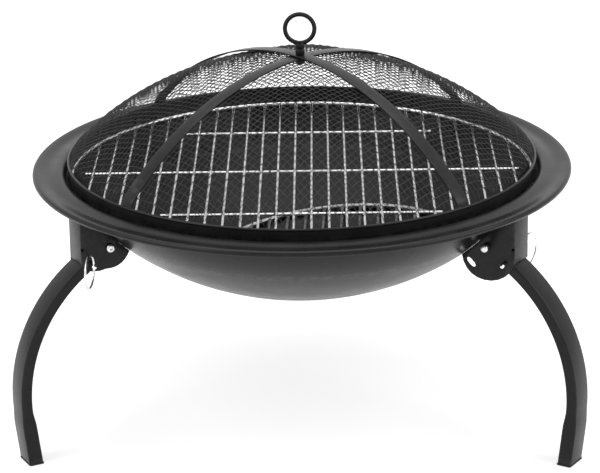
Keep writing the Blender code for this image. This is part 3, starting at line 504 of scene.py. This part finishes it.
def tinted(tree, factor, below, above):
    """Colour between two, by a factor. Either may be a plain colour or another node's."""
    made = tree.nodes.new("ShaderNodeMix")
    made.data_type = "RGBA"
    tree.links.new(factor, made.inputs[0])
    for socket, colour in ((6, below), (7, above)):
        if isinstance(colour, tuple):
            made.inputs[socket].default_value = (*colour, 1.0)
        else:
            tree.links.new(colour, made.inputs[socket])
    return made.outputs[2]


def surface(name, dark, light, worn, roughness, metallic, mottle, grain, bump, wear, dust, gloss=0.5):
    """Material that runs from dark to light over its mottle, shows its worn colour on edges and a
    dust film on top. Roughness follows the mottle between its two values, and grain is the bump."""
    made = bpy.data.materials.new(name)
    made.use_nodes = True
    tree = made.node_tree
    shader = tree.nodes["Principled BSDF"]
    shader.inputs["Metallic"].default_value = metallic
    shader.inputs["Specular IOR Level"].default_value = gloss
    grained = shared(tree, GRAIN, Mottle_Scale=mottle, Grain_Scale=grain)
    colour = tinted(tree, grained["Mottle"], dark, light)
    colour = tinted(tree, times(tree, shared(tree, WEAR)["Wear"], wear), colour, worn)
    colour = tinted(tree, times(tree, shared(tree, DUST)["Dust"], dust), colour, DUST_COLOUR)
    tree.links.new(colour, shader.inputs["Base Color"])
    tree.links.new(spread(tree, grained["Mottle"], 0.0, 1.0, *roughness), shader.inputs["Roughness"])
    relief = tree.nodes.new("ShaderNodeBump")
    relief.inputs["Strength"].default_value = bump
    relief.inputs["Distance"].default_value = GRAIN_DEPTH
    tree.links.new(grained["Grain"], relief.inputs["Height"])
    tree.links.new(relief.outputs["Normal"], shader.inputs["Normal"])
    return made


PAINT = (surface("satin black paint", dark=(0.006, 0.006, 0.0065), light=(0.011, 0.011, 0.0115),
                 worn=(0.07, 0.07, 0.07), roughness=(0.25, 0.33), metallic=0.0, mottle=34.0,
                 grain=1300.0, bump=0.20, wear=0.45, dust=0.01, gloss=0.20), "satin_black_paint")
WIRE = (surface("blackened wire", dark=(0.010, 0.010, 0.011), light=(0.022, 0.022, 0.023),
                worn=(0.08, 0.08, 0.08), roughness=(0.40, 0.52), metallic=0.0, mottle=90.0,
                grain=1800.0, bump=0.25, wear=0.3, dust=0.02, gloss=0.30), "black_wire_mesh")
CHROME = (surface("bright chrome wire", dark=(0.74, 0.74, 0.75), light=(0.90, 0.90, 0.91),
                  worn=(0.92, 0.92, 0.92), roughness=(0.16, 0.26), metallic=1.0, mottle=60.0,
                  grain=1500.0, bump=0.10, wear=0.4, dust=0.03), "chrome_wire")
DULL_WIRE = (surface("dull steel wire", dark=(0.34, 0.34, 0.35), light=(0.52, 0.52, 0.53),
                     worn=(0.60, 0.60, 0.60), roughness=(0.32, 0.46), metallic=1.0, mottle=80.0,
                     grain=1500.0, bump=0.20, wear=0.4, dust=0.06), "grey_steel_wire")
ZINC = (surface("bright zinc plate", dark=(0.60, 0.60, 0.61), light=(0.76, 0.76, 0.76),
                worn=(0.82, 0.82, 0.82), roughness=(0.20, 0.32), metallic=1.0, mottle=220.0,
                grain=2200.0, bump=0.15, wear=0.4, dust=0.02), "zinc_plated_steel")
RUBBERY = (surface("matt moulded plastic", dark=(0.007, 0.007, 0.007), light=(0.014, 0.014, 0.014),
                   worn=(0.04, 0.04, 0.04), roughness=(0.50, 0.62), metallic=0.0, mottle=120.0,
                   grain=2600.0, bump=0.40, wear=0.3, dust=0.04), "black_plastic")


def bowl_wall(slope):
    """Radius and height on the bowl's outside where it has each slope: floor sphere, then knee."""
    slope = np.asarray(slope)
    knee = slope >= KNEE_SLOPE
    reach = np.where(knee, KNEE_RADIUS, BOWL_RADIUS)
    return np.stack((np.where(knee, KNEE_CENTRE_RADIUS, 0.0) + reach * np.sin(slope),
                     np.where(knee, KNEE_CENTRE, FLOOR_CENTRE) - reach * np.cos(slope)), -1)


def fire_bowl():
    """Sheet carried round the axis. Its underside is the rolled edge, a trough that sinks as
    the square of a sine, the bend and the wall; its top runs one sheet's thickness above."""
    roll_centre = (RIM_RADIUS - ROLL_RADIUS, -ROLL_RADIUS)
    mouth = bowl_wall(MOUTH_SLOPE)
    bend_centre = (mouth[0] + FLANGE_BEND * math.sin(MOUTH_SLOPE),
                   mouth[1] - FLANGE_BEND * math.cos(MOUTH_SLOPE))
    roll = arc(roll_centre, ROLL_RADIUS - SHEET, -ROLL_TUCK, math.pi / 2, 12)
    part = np.linspace(0.0, 1.0, 25)
    trough = np.stack((roll_centre[0] + (bend_centre[0] - roll_centre[0]) * part,
                       -SHEET - TROUGH_DEPTH * np.sin(np.pi * part) ** 2), -1)
    bend = arc(bend_centre, FLANGE_BEND, math.pi / 2, math.pi / 2 + MOUTH_SLOPE, 10)
    knee = bowl_wall(np.linspace(MOUTH_SLOPE, KNEE_SLOPE, 22))
    floor = bowl_wall(np.linspace(KNEE_SLOPE - 1e-6, 0.0, 44))
    under = joined(roll, trough, bend, knee, floor)
    over = beside(under, -SHEET)
    under[-1, 0] = over[-1, 0] = 0.0
    piece("bowl", [revolved(np.concatenate((over[::-1], under)))], PAINT, "base", ["fire_bowl"])


def dome_line(crown, outset, shoulder_end, count):
    """Meridian of the lid: one big arc, then a tight shoulder that is outset from the mesh's own."""
    shoulder = SHOULDER + outset
    rise = crown - shoulder
    centre = ((rise ** 2 - SHOULDER_CENTRE[0] ** 2 - SHOULDER_CENTRE[1] ** 2)
              / (2 * (rise - SHOULDER_CENTRE[1])))
    meet = math.atan2(SHOULDER_CENTRE[1] - centre, SHOULDER_CENTRE[0])
    return joined(arc((0.0, centre), crown - centre, math.pi / 2, meet, count),
                  arc(SHOULDER_CENTRE, shoulder, meet, shoulder_end, count // 3))


def hoop():
    """Flat band with a round bead along its top, carried round the axis, and a pair of weld
    marks on the bead at each foot of the straps."""
    half = HOOP_SHEET / 2
    opens = math.acos(half / BEAD)
    profile = joined(arc((HOOP_MIDDLE, BEAD_CENTRE), BEAD, math.pi + opens, -opens, 20),
                     [(HOOP_MIDDLE + half, HOOP_BOTTOM), (HOOP_MIDDLE - half, HOOP_BOTTOM)])
    feet = [strap_azimuth + half_turn + side * HOOP_WELD_SIDE / HOOP_MIDDLE
            for strap_azimuth in (STRAP_UNDER, STRAP_OVER) for half_turn in (0.0, math.pi)
            for side in (-1, 1)]
    marks = nuggets([(HOOP_MIDDLE * math.cos(azimuth), HOOP_MIDDLE * math.sin(azimuth))
                     for azimuth in feet], BEAD_CENTRE + BEAD * HOOP_WELD_RISE, HOOP_WELD)
    piece("hoop", [revolved(profile, closed=True)] + marks, PAINT, "lid_body", ["lid_hoop"])


def quarter_rounds(depth, width, corner, count=5):
    """Rounded rectangle, one for each depth and width: four quarter circles round its corners."""
    quarter = np.repeat(np.arange(4), count)
    angle = quarter * math.pi / 2 + np.tile(np.linspace(0.0, math.pi / 2, count), 4)
    side = np.array((1, -1, -1, 1))[quarter]
    edge = np.array((1, 1, -1, -1))[quarter]
    depth, width = (np.atleast_1d(np.asarray(size, float))[:, None] for size in (depth, width))
    return (side * (depth / 2 - corner) + corner * np.cos(angle),
            edge * (width / 2 - corner) + corner * np.sin(angle))


def strap(name, azimuth, rise, node):
    """Flat bar with round edges, carried over the dome in one upright plane."""
    middle = GAP + STRAP_THICKNESS / 2
    bead_distance = HOOP_MIDDLE - SHOULDER_CENTRE[0]
    stop = math.asin((BEAD + 2 * GAP) / bead_distance)
    half = dome_line(DOME_HEIGHT + middle + rise, middle, stop, 48)
    line = joined(half[::-1], half * (-1, 1))
    along = np.gradient(line, axis=0)
    along /= np.linalg.norm(along, axis=1)[:, None]
    normal = np.stack((-along[:, 1], along[:, 0]), -1)
    across, up = quarter_rounds(STRAP_WIDTH, STRAP_THICKNESS, STRAP_EDGE, 4)
    run = line[:, None, 0] + normal[:, None, 0] * up
    height = line[:, None, 1] + normal[:, None, 1] * up
    loops = np.stack((run, np.broadcast_to(across, run.shape), height), -1)
    hole = drill(STUD_RADIUS + GAP, DOME_HEIGHT / 2, DOME_HEIGHT * 1.5, 32)
    piece(name, [moved(skin(loops), turn=about("Z", azimuth))], PAINT, "lid_body", [node],
          cutters=[hole])


def dome_height(radius, azimuth, line):
    """Height of the mesh: its meridian, raised between the straps as the fourth power of a sine
    round the lid and the square of one outward."""
    bulge = GORE_RISE * np.sin(2 * (azimuth - math.pi / 4)) ** 4
    outward = np.sin(np.pi * np.clip(radius / MESH_EDGE, 0, 1)) ** 2
    return np.interp(radius, line[:, 0], line[:, 1]) + bulge * outward


def woven_mesh():
    """Two families of wires, square to each other in plan. Each runs over and under the other:
    at crossing number j of wire number k it stands one wire radius up or down by the sign of
    (-1) to the power j + k. At the shoulder a wire follows the meridian down behind the bead."""
    line = dome_line(DOME_HEIGHT - MESH_WIRE * 2, 0.0, 0.0, 60)
    shoulder_radii = (SHOULDER_CENTRE[0] - MESH_WIRE
                      + SHOULDER * np.sin(np.linspace(0.35, 1.0, 6) * math.pi / 2))
    half_count = int(MESH_EDGE / MESH_PITCH)
    families = (("mesh_wires_warp", math.pi / 4), ("mesh_wires_weft", -math.pi / 4))
    for family, (name, turn) in enumerate(families):
        turn += MESH_TURN
        c, s = math.cos(turn), math.sin(turn)
        skins = []
        for k in range(-half_count, half_count):
            offset = (k + 0.5) * MESH_PITCH
            inside = math.sqrt(max(shoulder_radii[0] ** 2 - offset ** 2, 0.0))
            j = np.arange(-half_count, half_count)
            run = (j + 0.5) * MESH_PITCH
            keep = np.abs(run) < inside - MESH_PITCH / 3
            j, run = j[keep], run[keep]
            sign = np.where((j + k + family) % 2, 1.0, -1.0)
            out = shoulder_radii[shoulder_radii > abs(offset) + 1e-4]
            if len(out) < 2:
                continue
            end = np.sqrt(out ** 2 - offset ** 2)
            run = np.concatenate((-end[::-1], run, end))
            lift = np.concatenate((np.zeros(len(end)), sign, np.zeros(len(end)))) * MESH_WIRE
            x = run * c - offset * s
            y = run * s + offset * c
            z = dome_height(np.hypot(x, y), np.arctan2(y, x), line) + lift
            skins.append(tube(np.stack((x, y, z), -1), MESH_WIRE, (-s, c, 0.0), 5))
        piece(name, skins, WIRE, "lid_body", ["lid_mesh"], 80)


def handle():
    """Ring of round wire in a saddle on a collar of two barrels. Below the mesh, the stud's
    end and a hexagon nut. A small eye stands on the front of the ring's foot."""
    ring = moved(upright_ring(HANDLE_RADIUS, HANDLE_WIRE), (0.0, 0.0, HANDLE_CENTRE))
    foot = HANDLE_CENTRE - HANDLE_RADIUS
    eye = upright_ring(EYE_RADIUS, EYE_WIRE, 32, 10)
    eye = moved(eye, (0.0, -HANDLE_WIRE - EYE_PROUD, foot))
    piece("ring_handle", [ring, eye], PAINT, "lid_body", ["handle_ring"], 60)
    start = STRAP_TOP + GAP
    barrel = (foot - start) / 2
    rise = np.linspace(0.0, 1.0, 13)
    swell = COLLAR_RADIUS * (1.0 - COLLAR_SWELL + COLLAR_SWELL * np.sin(np.pi * rise) ** 0.5)
    barrels = np.concatenate([np.stack((swell, start + barrel * (k + rise)), -1) for k in range(2)])
    stud_end = STUD_NUT_TOP - STUD_NUT_HEIGHT - STUD_TAIL
    profile = joined([(0.0, stud_end), (STUD_RADIUS, stud_end), (STUD_RADIUS, start)],
                     barrels, [(0.0, foot)])
    saddle = moved(upright_ring(HANDLE_RADIUS, HANDLE_WIRE + GAP), (0.0, 0.0, HANDLE_CENTRE))
    piece("ring_collar", [revolved(profile, 48)], PAINT, "lid_body", ["handle_collar"],
          cutters=[saddle])
    bore = STUD_RADIUS + GAP
    low = STUD_NUT_TOP - STUD_NUT_HEIGHT
    profile = [(STUD_NUT, STUD_NUT_TOP), (STUD_NUT, low), (bore, low), (bore, STUD_NUT_TOP)]
    nut = revolved(profile, 48, closed=True, sixfold=(1, 1, 0, 0))
    piece("stud_nut", [nut], PAINT, "lid_body", ["handle_nut"])


def leg_line(run):
    """Place and slope below level along a leg: a straight run, one arc, and a straight foot."""
    slope = LEG_SLOPE + np.clip(run - LEG_STRAIGHT, 0.0, LEG_BEND * LEG_SWEEP) / LEG_BEND
    before = np.minimum(run, LEG_STRAIGHT)
    after = np.maximum(run - LEG_STRAIGHT - LEG_BEND * LEG_SWEEP, 0.0)
    x = (PIVOT_RADIUS + before * math.cos(LEG_SLOPE) + after * np.cos(slope)
         + LEG_BEND * (np.sin(slope) - math.sin(LEG_SLOPE)))
    z = (-PIVOT_DROP - before * math.sin(LEG_SLOPE) - after * np.sin(slope)
         + LEG_BEND * (np.cos(slope) - math.cos(LEG_SLOPE)))
    return x, z, slope


def leg_length():
    """Run at which the leg's middle comes down to its level end, just above the cap's lip."""
    end = LEG_STRAIGHT + LEG_BEND * LEG_SWEEP
    _, z, _ = leg_line(np.array(end))
    return end + (RIM_HEIGHT + float(z) - FOOT_END) / math.cos(FOOT_LEAN)


LEG_LENGTH = leg_length()


def leg_sections(run, depth, width, corner):
    """Rounded rectangles across the leg. The last one is cut level with the ground."""
    x, z, slope = leg_line(run)
    out_x, out_z = np.sin(slope), np.cos(slope)
    out_x[-1], out_z[-1] = 1.0 / math.sin(slope[-1]), 0.0
    across, along = quarter_rounds(depth, width, corner)
    return np.stack((x[:, None] + out_x[:, None] * across, np.broadcast_to(along, across.shape),
                     z[:, None] + out_z[:, None] * across), -1)


def leg(place, azimuth):
    """Tube with a bend: outer loops down the leg, then inner loops back up, joined at both ends.
    The bolt's hole and the pin's round way out of the tube are cut through it."""
    end = LEG_STRAIGHT + LEG_BEND * LEG_SWEEP
    run = np.concatenate((np.linspace(-LEG_STUB, LEG_STRAIGHT, 6)[:-1],
                          np.linspace(LEG_STRAIGHT, end, 56),
                          np.linspace(end, LEG_LENGTH, 8)[1:]))
    part = np.clip((run - end) / FOOT_BLEND + 0.5, 0.0, 1.0)
    depth = LEG_DEPTH + (FOOT_DEPTH - LEG_DEPTH) * part ** 2 * (3 - 2 * part)
    down = np.clip((run - LEG_STRAIGHT) / (LEG_LENGTH - LEG_STRAIGHT), 0, 1)
    width = LEG_WIDTH + (FOOT_WIDTH - LEG_WIDTH) * down
    outer = leg_sections(run, depth, width, LEG_CORNER)
    inner = leg_sections(run, depth - 2 * LEG_WALL, width - 2 * LEG_WALL, LEG_CORNER - LEG_WALL)
    shape = skin(np.concatenate((outer, inner[::-1])), closed=True)
    bolt_hole = lying(drill(BOLT_HOLE, -LEG_WIDTH, LEG_WIDTH, 48), PIVOT_RADIUS, -PIVOT_DROP)
    start = -LEG_SLOPE
    leave = start + math.asin((LEG_DEPTH / 2 + 2 * PIN_HOLE) / PIN_REACH)
    middle = PIN_REACH * np.array((math.cos(start), math.sin(start)))
    way = joined(arc((0.0, 0.0), PIN_REACH + PIN_HOLE, start, leave, 12),
                 arc((0.0, 0.0), PIN_REACH - PIN_HOLE, leave, start, 12),
                 arc(middle, PIN_HOLE, start - math.pi, start, 16)[1:-1])
    way += (PIVOT_RADIUS, -PIVOT_DROP)
    ends = [np.insert(way, 1, y, axis=1) for y in (-LEG_WIDTH, LEG_WIDTH)]
    pin_way = skin(np.stack(ends))
    piece(f"leg_tube_{place}", [at_leg(shape, azimuth)], PAINT, f"leg_{place}_body",
          [f"leg_{place}"], cutters=[at_leg(bolt_hole, azimuth), at_leg(pin_way, azimuth)])


def foot_cap(place, azimuth):
    """Lip with a rounded rim under the tube's end, and the plug inside the tube, which leans as
    the tube does. Each row of drops, grow and plug is one level section from the ground up."""
    x, z, slope = leg_line(np.array([LEG_LENGTH]))
    lean = np.array((-math.tan(FOOT_LEAN), -1.0))
    stretch = 1.0 / math.sin(slope[0])
    inside = 2 * (LEG_WALL + GAP)
    drops = np.array([FOOT_END, FOOT_END, FOOT_END - CAP_ROUND, GAP + CAP_ROUND, GAP, GAP, -CAP_PLUG])
    grow = np.array([-CAP_ROUND, -CAP_ROUND / 3, 0.0, 0.0, -CAP_ROUND / 3, 0.0, 0.0])
    plug = np.array([False, False, False, False, False, True, True])
    depth = np.where(plug, FOOT_DEPTH - inside, FOOT_DEPTH + 2 * (CAP_PROUD + grow))
    width = np.where(plug, FOOT_WIDTH - inside, FOOT_WIDTH + 2 * (CAP_PROUD + grow))
    across, along = quarter_rounds(depth, width, LEG_CORNER)
    loops = np.stack((x[0] + lean[0] * drops[:, None] + stretch * across, along,
                      np.broadcast_to(z[0] + lean[1] * drops[:, None], across.shape)), -1)
    piece(f"foot_cap_moulded_{place}", [at_leg(skin(loops), azimuth)], RUBBERY, f"leg_{place}_body",
          [f"foot_cap_{place}"])


def bolt_and_nut(place, azimuth):
    """Domed head with a hexagon socket, its shank through the bracket, and a round cap nut."""
    face = CHEEK + GAP
    top = face + HEAD_HEIGHT
    skirt = HEAD_HEIGHT / 3
    angle = np.linspace(math.pi / 2, 0.0, 14)
    crown = SOCKET_RADIUS * HEAD_CROWN
    dome = np.stack((crown + (HEAD_RADIUS - crown) * np.cos(angle),
                     face + skirt + (HEAD_HEIGHT - skirt) * np.sin(angle)), -1)
    floor = top - SOCKET_DEPTH
    shank_end = -CHEEK - BOLT_TAIL
    profile = joined([(0.0, floor), (SOCKET_RADIUS, floor), (SOCKET_RADIUS, top - SOCKET_EDGE)], dome,
                     [(HEAD_RADIUS, face), (BOLT_RADIUS, face), (BOLT_RADIUS, shank_end),
                      (0.0, shank_end)])
    socket = np.zeros(len(profile))
    socket[1:3] = 1.0
    head = lying(revolved(profile, 60, sixfold=socket), PIVOT_RADIUS, -PIVOT_DROP)
    piece(f"bolt_{place}", [at_leg(head, azimuth)], ZINC, "base", [f"pivot_bolt_{place}"])
    face = -CHEEK - GAP
    bore = BOLT_RADIUS + GAP
    bore_end = face - BOLT_TAIL - GAP
    dome = np.stack((NUT_RADIUS * np.cos(angle[::-1]),
                     face - NUT_HEIGHT + NUT_RADIUS / 2 * (1 - np.sin(angle[::-1]))), -1)
    profile = joined([(0.0, bore_end), (bore, bore_end), (bore, face),
                      (NUT_RADIUS - NUT_EDGE, face), (NUT_RADIUS, face - NUT_EDGE)], dome)
    nut = lying(revolved(profile, 48), PIVOT_RADIUS, -PIVOT_DROP)
    piece(f"cap_nut_{place}", [at_leg(nut, azimuth)], ZINC, "base", [f"pivot_nut_{place}"])


def pin_and_ring(place, azimuth):
    """Straight pin with half-round ends and a cross hole, and the ring of wire through it."""
    tip = -CHEEK - PIN_TIP
    tail = CHEEK + PIN_EYE + PIN_TAIL
    line = joined(arc((0.0, tip + PIN_RADIUS), PIN_RADIUS, -math.pi / 2, 0.0, 10),
                  arc((0.0, tail - PIN_RADIUS), PIN_RADIUS, 0.0, math.pi / 2, 10))
    line[[0, -1], 0] = 0.0
    pin = lying(revolved(line, 40), PIN_X, PIN_Z)
    hinge = (PIN_X, CHEEK + PIN_EYE, PIN_Z)
    eye = moved(drill(PULL_HOLE, -2 * PIN_RADIUS, 2 * PIN_RADIUS, 24), hinge)
    piece(f"pin_{place}", [at_leg(pin, azimuth)], CHROME, f"pin_{place}_body", [f"lock_pin_{place}"],
          cutters=[at_leg(eye, azimuth)])
    ring = moved(upright_ring(PULL_RADIUS, PULL_WIRE), (PULL_RADIUS, 0.0, 0.0))
    ring = moved(ring, hinge, about("Z", math.pi / 2 - PULL_TURN[place]))
    piece(f"ring_{place}", [at_leg(ring, azimuth)], CHROME, f"ring_{place}_body",
          [f"pull_ring_{place}"], 80)


def rod_set(x, half, height, wire, along=1, sides=10):
    """Straight round rods, one for each x, from -half to half. A short stretch at each end has
    a loop of its own."""
    skins = []
    for place, reach in zip(x, half):
        run = np.array((-reach, -reach + wire * ROD_END, reach - wire * ROD_END, reach))
        path = np.zeros((4, 3))
        path[:, along] = run
        path[:, 1 - along] = place
        path[:, 2] = height
        skins.append(tube(path, wire, (0.0, 0.0, 1.0), sides))
    return skins


def nuggets(crossings, height, radius):
    """Weld beads: small flattened balls where rods cross, of a few dozen faces each."""
    rise = np.linspace(-1.0, 1.0, 5)
    profile = np.stack((radius * np.sqrt(1 - rise ** 2), radius * WELD_FLATNESS * rise), -1)
    ball = revolved(profile, 8)
    return [moved(ball, (x, y, height)) for x, y in crossings]


def cooking_grate():
    """Ring with rods across it and three bars under the rods, welded where they meet."""
    half = GRATE_RADIUS - GRATE_ROD_INSET
    pitch = 2 * half / (GRATE_RODS - 1)
    x = (np.arange(GRATE_RODS) - (GRATE_RODS - 1) / 2) * pitch + GRATE_SHIFT
    skins = [level_ring(GRATE_RADIUS, GRATE_RING)]
    skins += rod_set(x, np.sqrt(GRATE_RADIUS ** 2 - x ** 2), WELD / 2, GRATE_ROD)
    under = WELD / 2 - GRATE_ROD - GRATE_BAR + WELD
    skins += rod_set([0.0], [half + GRATE_OVERHANG + GRATE_SHIFT], under, GRATE_BAR, 0)
    side = GRATE_RADIUS - SIDE_BAR_INSET
    skins += rod_set([-side, side], [SIDE_BAR_RODS * pitch] * 2, under, GRATE_BAR, 0)
    meet = [(a, 0.0) for a in x]
    meet += [(a, b) for b in (-side, side) for a in x[np.abs(x) < SIDE_BAR_RODS * pitch]]
    skins += nuggets(meet, -GRATE_ROD, WELD_BEAD)
    turn = about("Z", GRATE_YAW)
    skins = [moved(shape, (0.0, 0.0, -GRATE_DROP), turn) for shape in skins]
    piece("cooking_grate_wire", skins, CHROME, "grate_body", ["cooking_grate"], 60)


def charcoal_grate():
    """The smaller grate, turned a little about the middle of the bowl's round floor."""
    half = CHARCOAL_RADIUS - CHARCOAL_ROD_INSET
    x = np.linspace(-half, half, CHARCOAL_RODS)
    skins = [level_ring(CHARCOAL_RADIUS, CHARCOAL_RING, steps=160)]
    skins += rod_set(x, np.sqrt(CHARCOAL_RADIUS ** 2 - x ** 2), WELD / 2, CHARCOAL_ROD)
    under = WELD / 2 - CHARCOAL_ROD - CHARCOAL_BAR + WELD
    skins += rod_set([0.0], [CHARCOAL_RADIUS - CHARCOAL_BAR], under, CHARCOAL_BAR, 0)
    skins += nuggets([(a, 0.0) for a in x], -CHARCOAL_ROD, CHARCOAL_BEAD)
    turn = about("Y", -CHARCOAL_TURN)
    skins = [moved(shape, (0.0, 0.0, -CHARCOAL_DROP - FLOOR_CENTRE)) for shape in skins]
    skins = [moved(shape, (0.0, 0.0, FLOOR_CENTRE), turn) for shape in skins]
    piece("charcoal_grate_wire", skins, DULL_WIRE, "charcoal_body", ["charcoal_grate"], 60)


def bracket(place, azimuth):
    """The folded sheet with its edges broken, and a small round relief through each of its bends."""
    bar = drill(RELIEF_RADIUS, -4 * RELIEF_RADIUS, 4 * RELIEF_RADIUS, 24)
    bar = moved(bar, turn=about("Y", math.pi / 2))
    reliefs = [moved(bar, (WEB_RADIUS - RELIEF_INSET, side * (CHEEK - RELIEF_INSET), -RELIEF_DROP),
                     about("Z", side * math.pi / 4)) for side in (-1, 1)]
    rounded_copy(f"bracket_{place}", f"folded_bracket_{place}", PAINT, "base", BRACKET_EDGE,
                 [at_leg(relief, azimuth) for relief in reliefs])


def lamp(name, place, size, power):
    """Square soft lamp that looks at the pit."""
    data = bpy.data.lights.new(name, "AREA")
    data.size = size
    data.energy = power
    made = bpy.data.objects.new(name, data)
    made.location = place
    aim = Vector(LAMP_TARGET) - Vector(place)
    made.rotation_euler = aim.to_track_quat("-Z", "Y").to_euler()
    bpy.context.scene.collection.objects.link(made)


def seen_directly(tree):
    """1 for camera, glossy and transmission rays, 0 for the light that falls on surfaces."""
    path = tree.nodes.new("ShaderNodeLightPath")
    value = path.outputs["Is Camera Ray"]
    for label in ("Is Glossy Ray", "Is Transmission Ray"):
        either = tree.nodes.new("ShaderNodeMath")
        either.operation = "MAXIMUM"
        tree.links.new(value, either.inputs[0])
        tree.links.new(path.outputs[label], either.inputs[1])
        value = either.outputs[0]
    return value


def stand_studio():
    """White surroundings, a pale floor that keeps the shadow, and three soft lamps."""
    scene = bpy.context.scene
    scene.view_settings.view_transform = "Standard"
    world = bpy.data.worlds.new("studio")
    scene.world = world
    world.use_nodes = True
    tree = world.node_tree
    back = tree.nodes["Background"]
    back.inputs["Color"].default_value = (1.0, 1.0, 1.0, 1.0)
    strength = spread(tree, seen_directly(tree), 0.0, 1.0, WORLD_LIGHT, 1.0)
    tree.links.new(strength, back.inputs["Strength"])
    bpy.ops.mesh.primitive_plane_add(size=FLOOR_SIZE)
    floor = bpy.context.object
    floor.name = "floor"
    made = bpy.data.materials.new("pale floor")
    made.use_nodes = True
    tree = made.node_tree
    shader = tree.nodes["Principled BSDF"]
    shader.inputs["Base Color"].default_value = (FLOOR_SHADE, FLOOR_SHADE, FLOOR_SHADE, 1.0)
    shader.inputs["Roughness"].default_value = 0.9
    shader.inputs["Specular IOR Level"].default_value = 0.0
    shader.inputs["Emission Color"].default_value = (1.0, 1.0, 1.0, 1.0)
    tree.links.new(times(tree, seen_directly(tree), FLOOR_GLOW), shader.inputs["Emission Strength"])
    floor.data.materials.append(made)
    for name, place, size, power in LAMPS:
        lamp(name, place, size, power)


def stand_camera():
    """Camera that looks at the rim's centre. Its shift puts that centre on the photograph's pixel."""
    width, height = PICTURE
    target = Vector((0.0, AXIS_Y, RIM_HEIGHT))
    away = Vector((math.cos(CAMERA_AZIMUTH) * math.cos(CAMERA_RISE),
                   math.sin(CAMERA_AZIMUTH) * math.cos(CAMERA_RISE), math.sin(CAMERA_RISE)))
    data = bpy.data.cameras.new("camera")
    data.sensor_width = SENSOR
    data.lens = FOCAL_LENGTH / width * SENSOR
    data.shift_x = (width / 2 - RIM_CENTRE_PIXEL[0]) / width
    data.shift_y = (RIM_CENTRE_PIXEL[1] - height / 2) / width
    made = bpy.data.objects.new("camera", data)
    bpy.context.scene.collection.objects.link(made)
    aim = (-away).to_track_quat("-Z", "Y")
    made.rotation_euler = (aim.to_matrix() @ Matrix.Rotation(CAMERA_ROLL, 3, "Z")).to_euler()
    made.location = target + away * CAMERA_REACH
    bpy.context.scene.camera = made


stand_camera()
stand_studio()
fire_bowl()
charcoal_grate()
cooking_grate()
hoop()
woven_mesh()
strap("strap_under", STRAP_UNDER, 0.0, "strap_lower")
strap("strap_over", STRAP_OVER, STRAP_STEP, "strap_upper")
handle()
for leg_place, leg_azimuth in AZIMUTHS.items():
    bracket(leg_place, leg_azimuth)
    leg(leg_place, leg_azimuth)
    foot_cap(leg_place, leg_azimuth)
    bolt_and_nut(leg_place, leg_azimuth)
    pin_and_ring(leg_place, leg_azimuth)
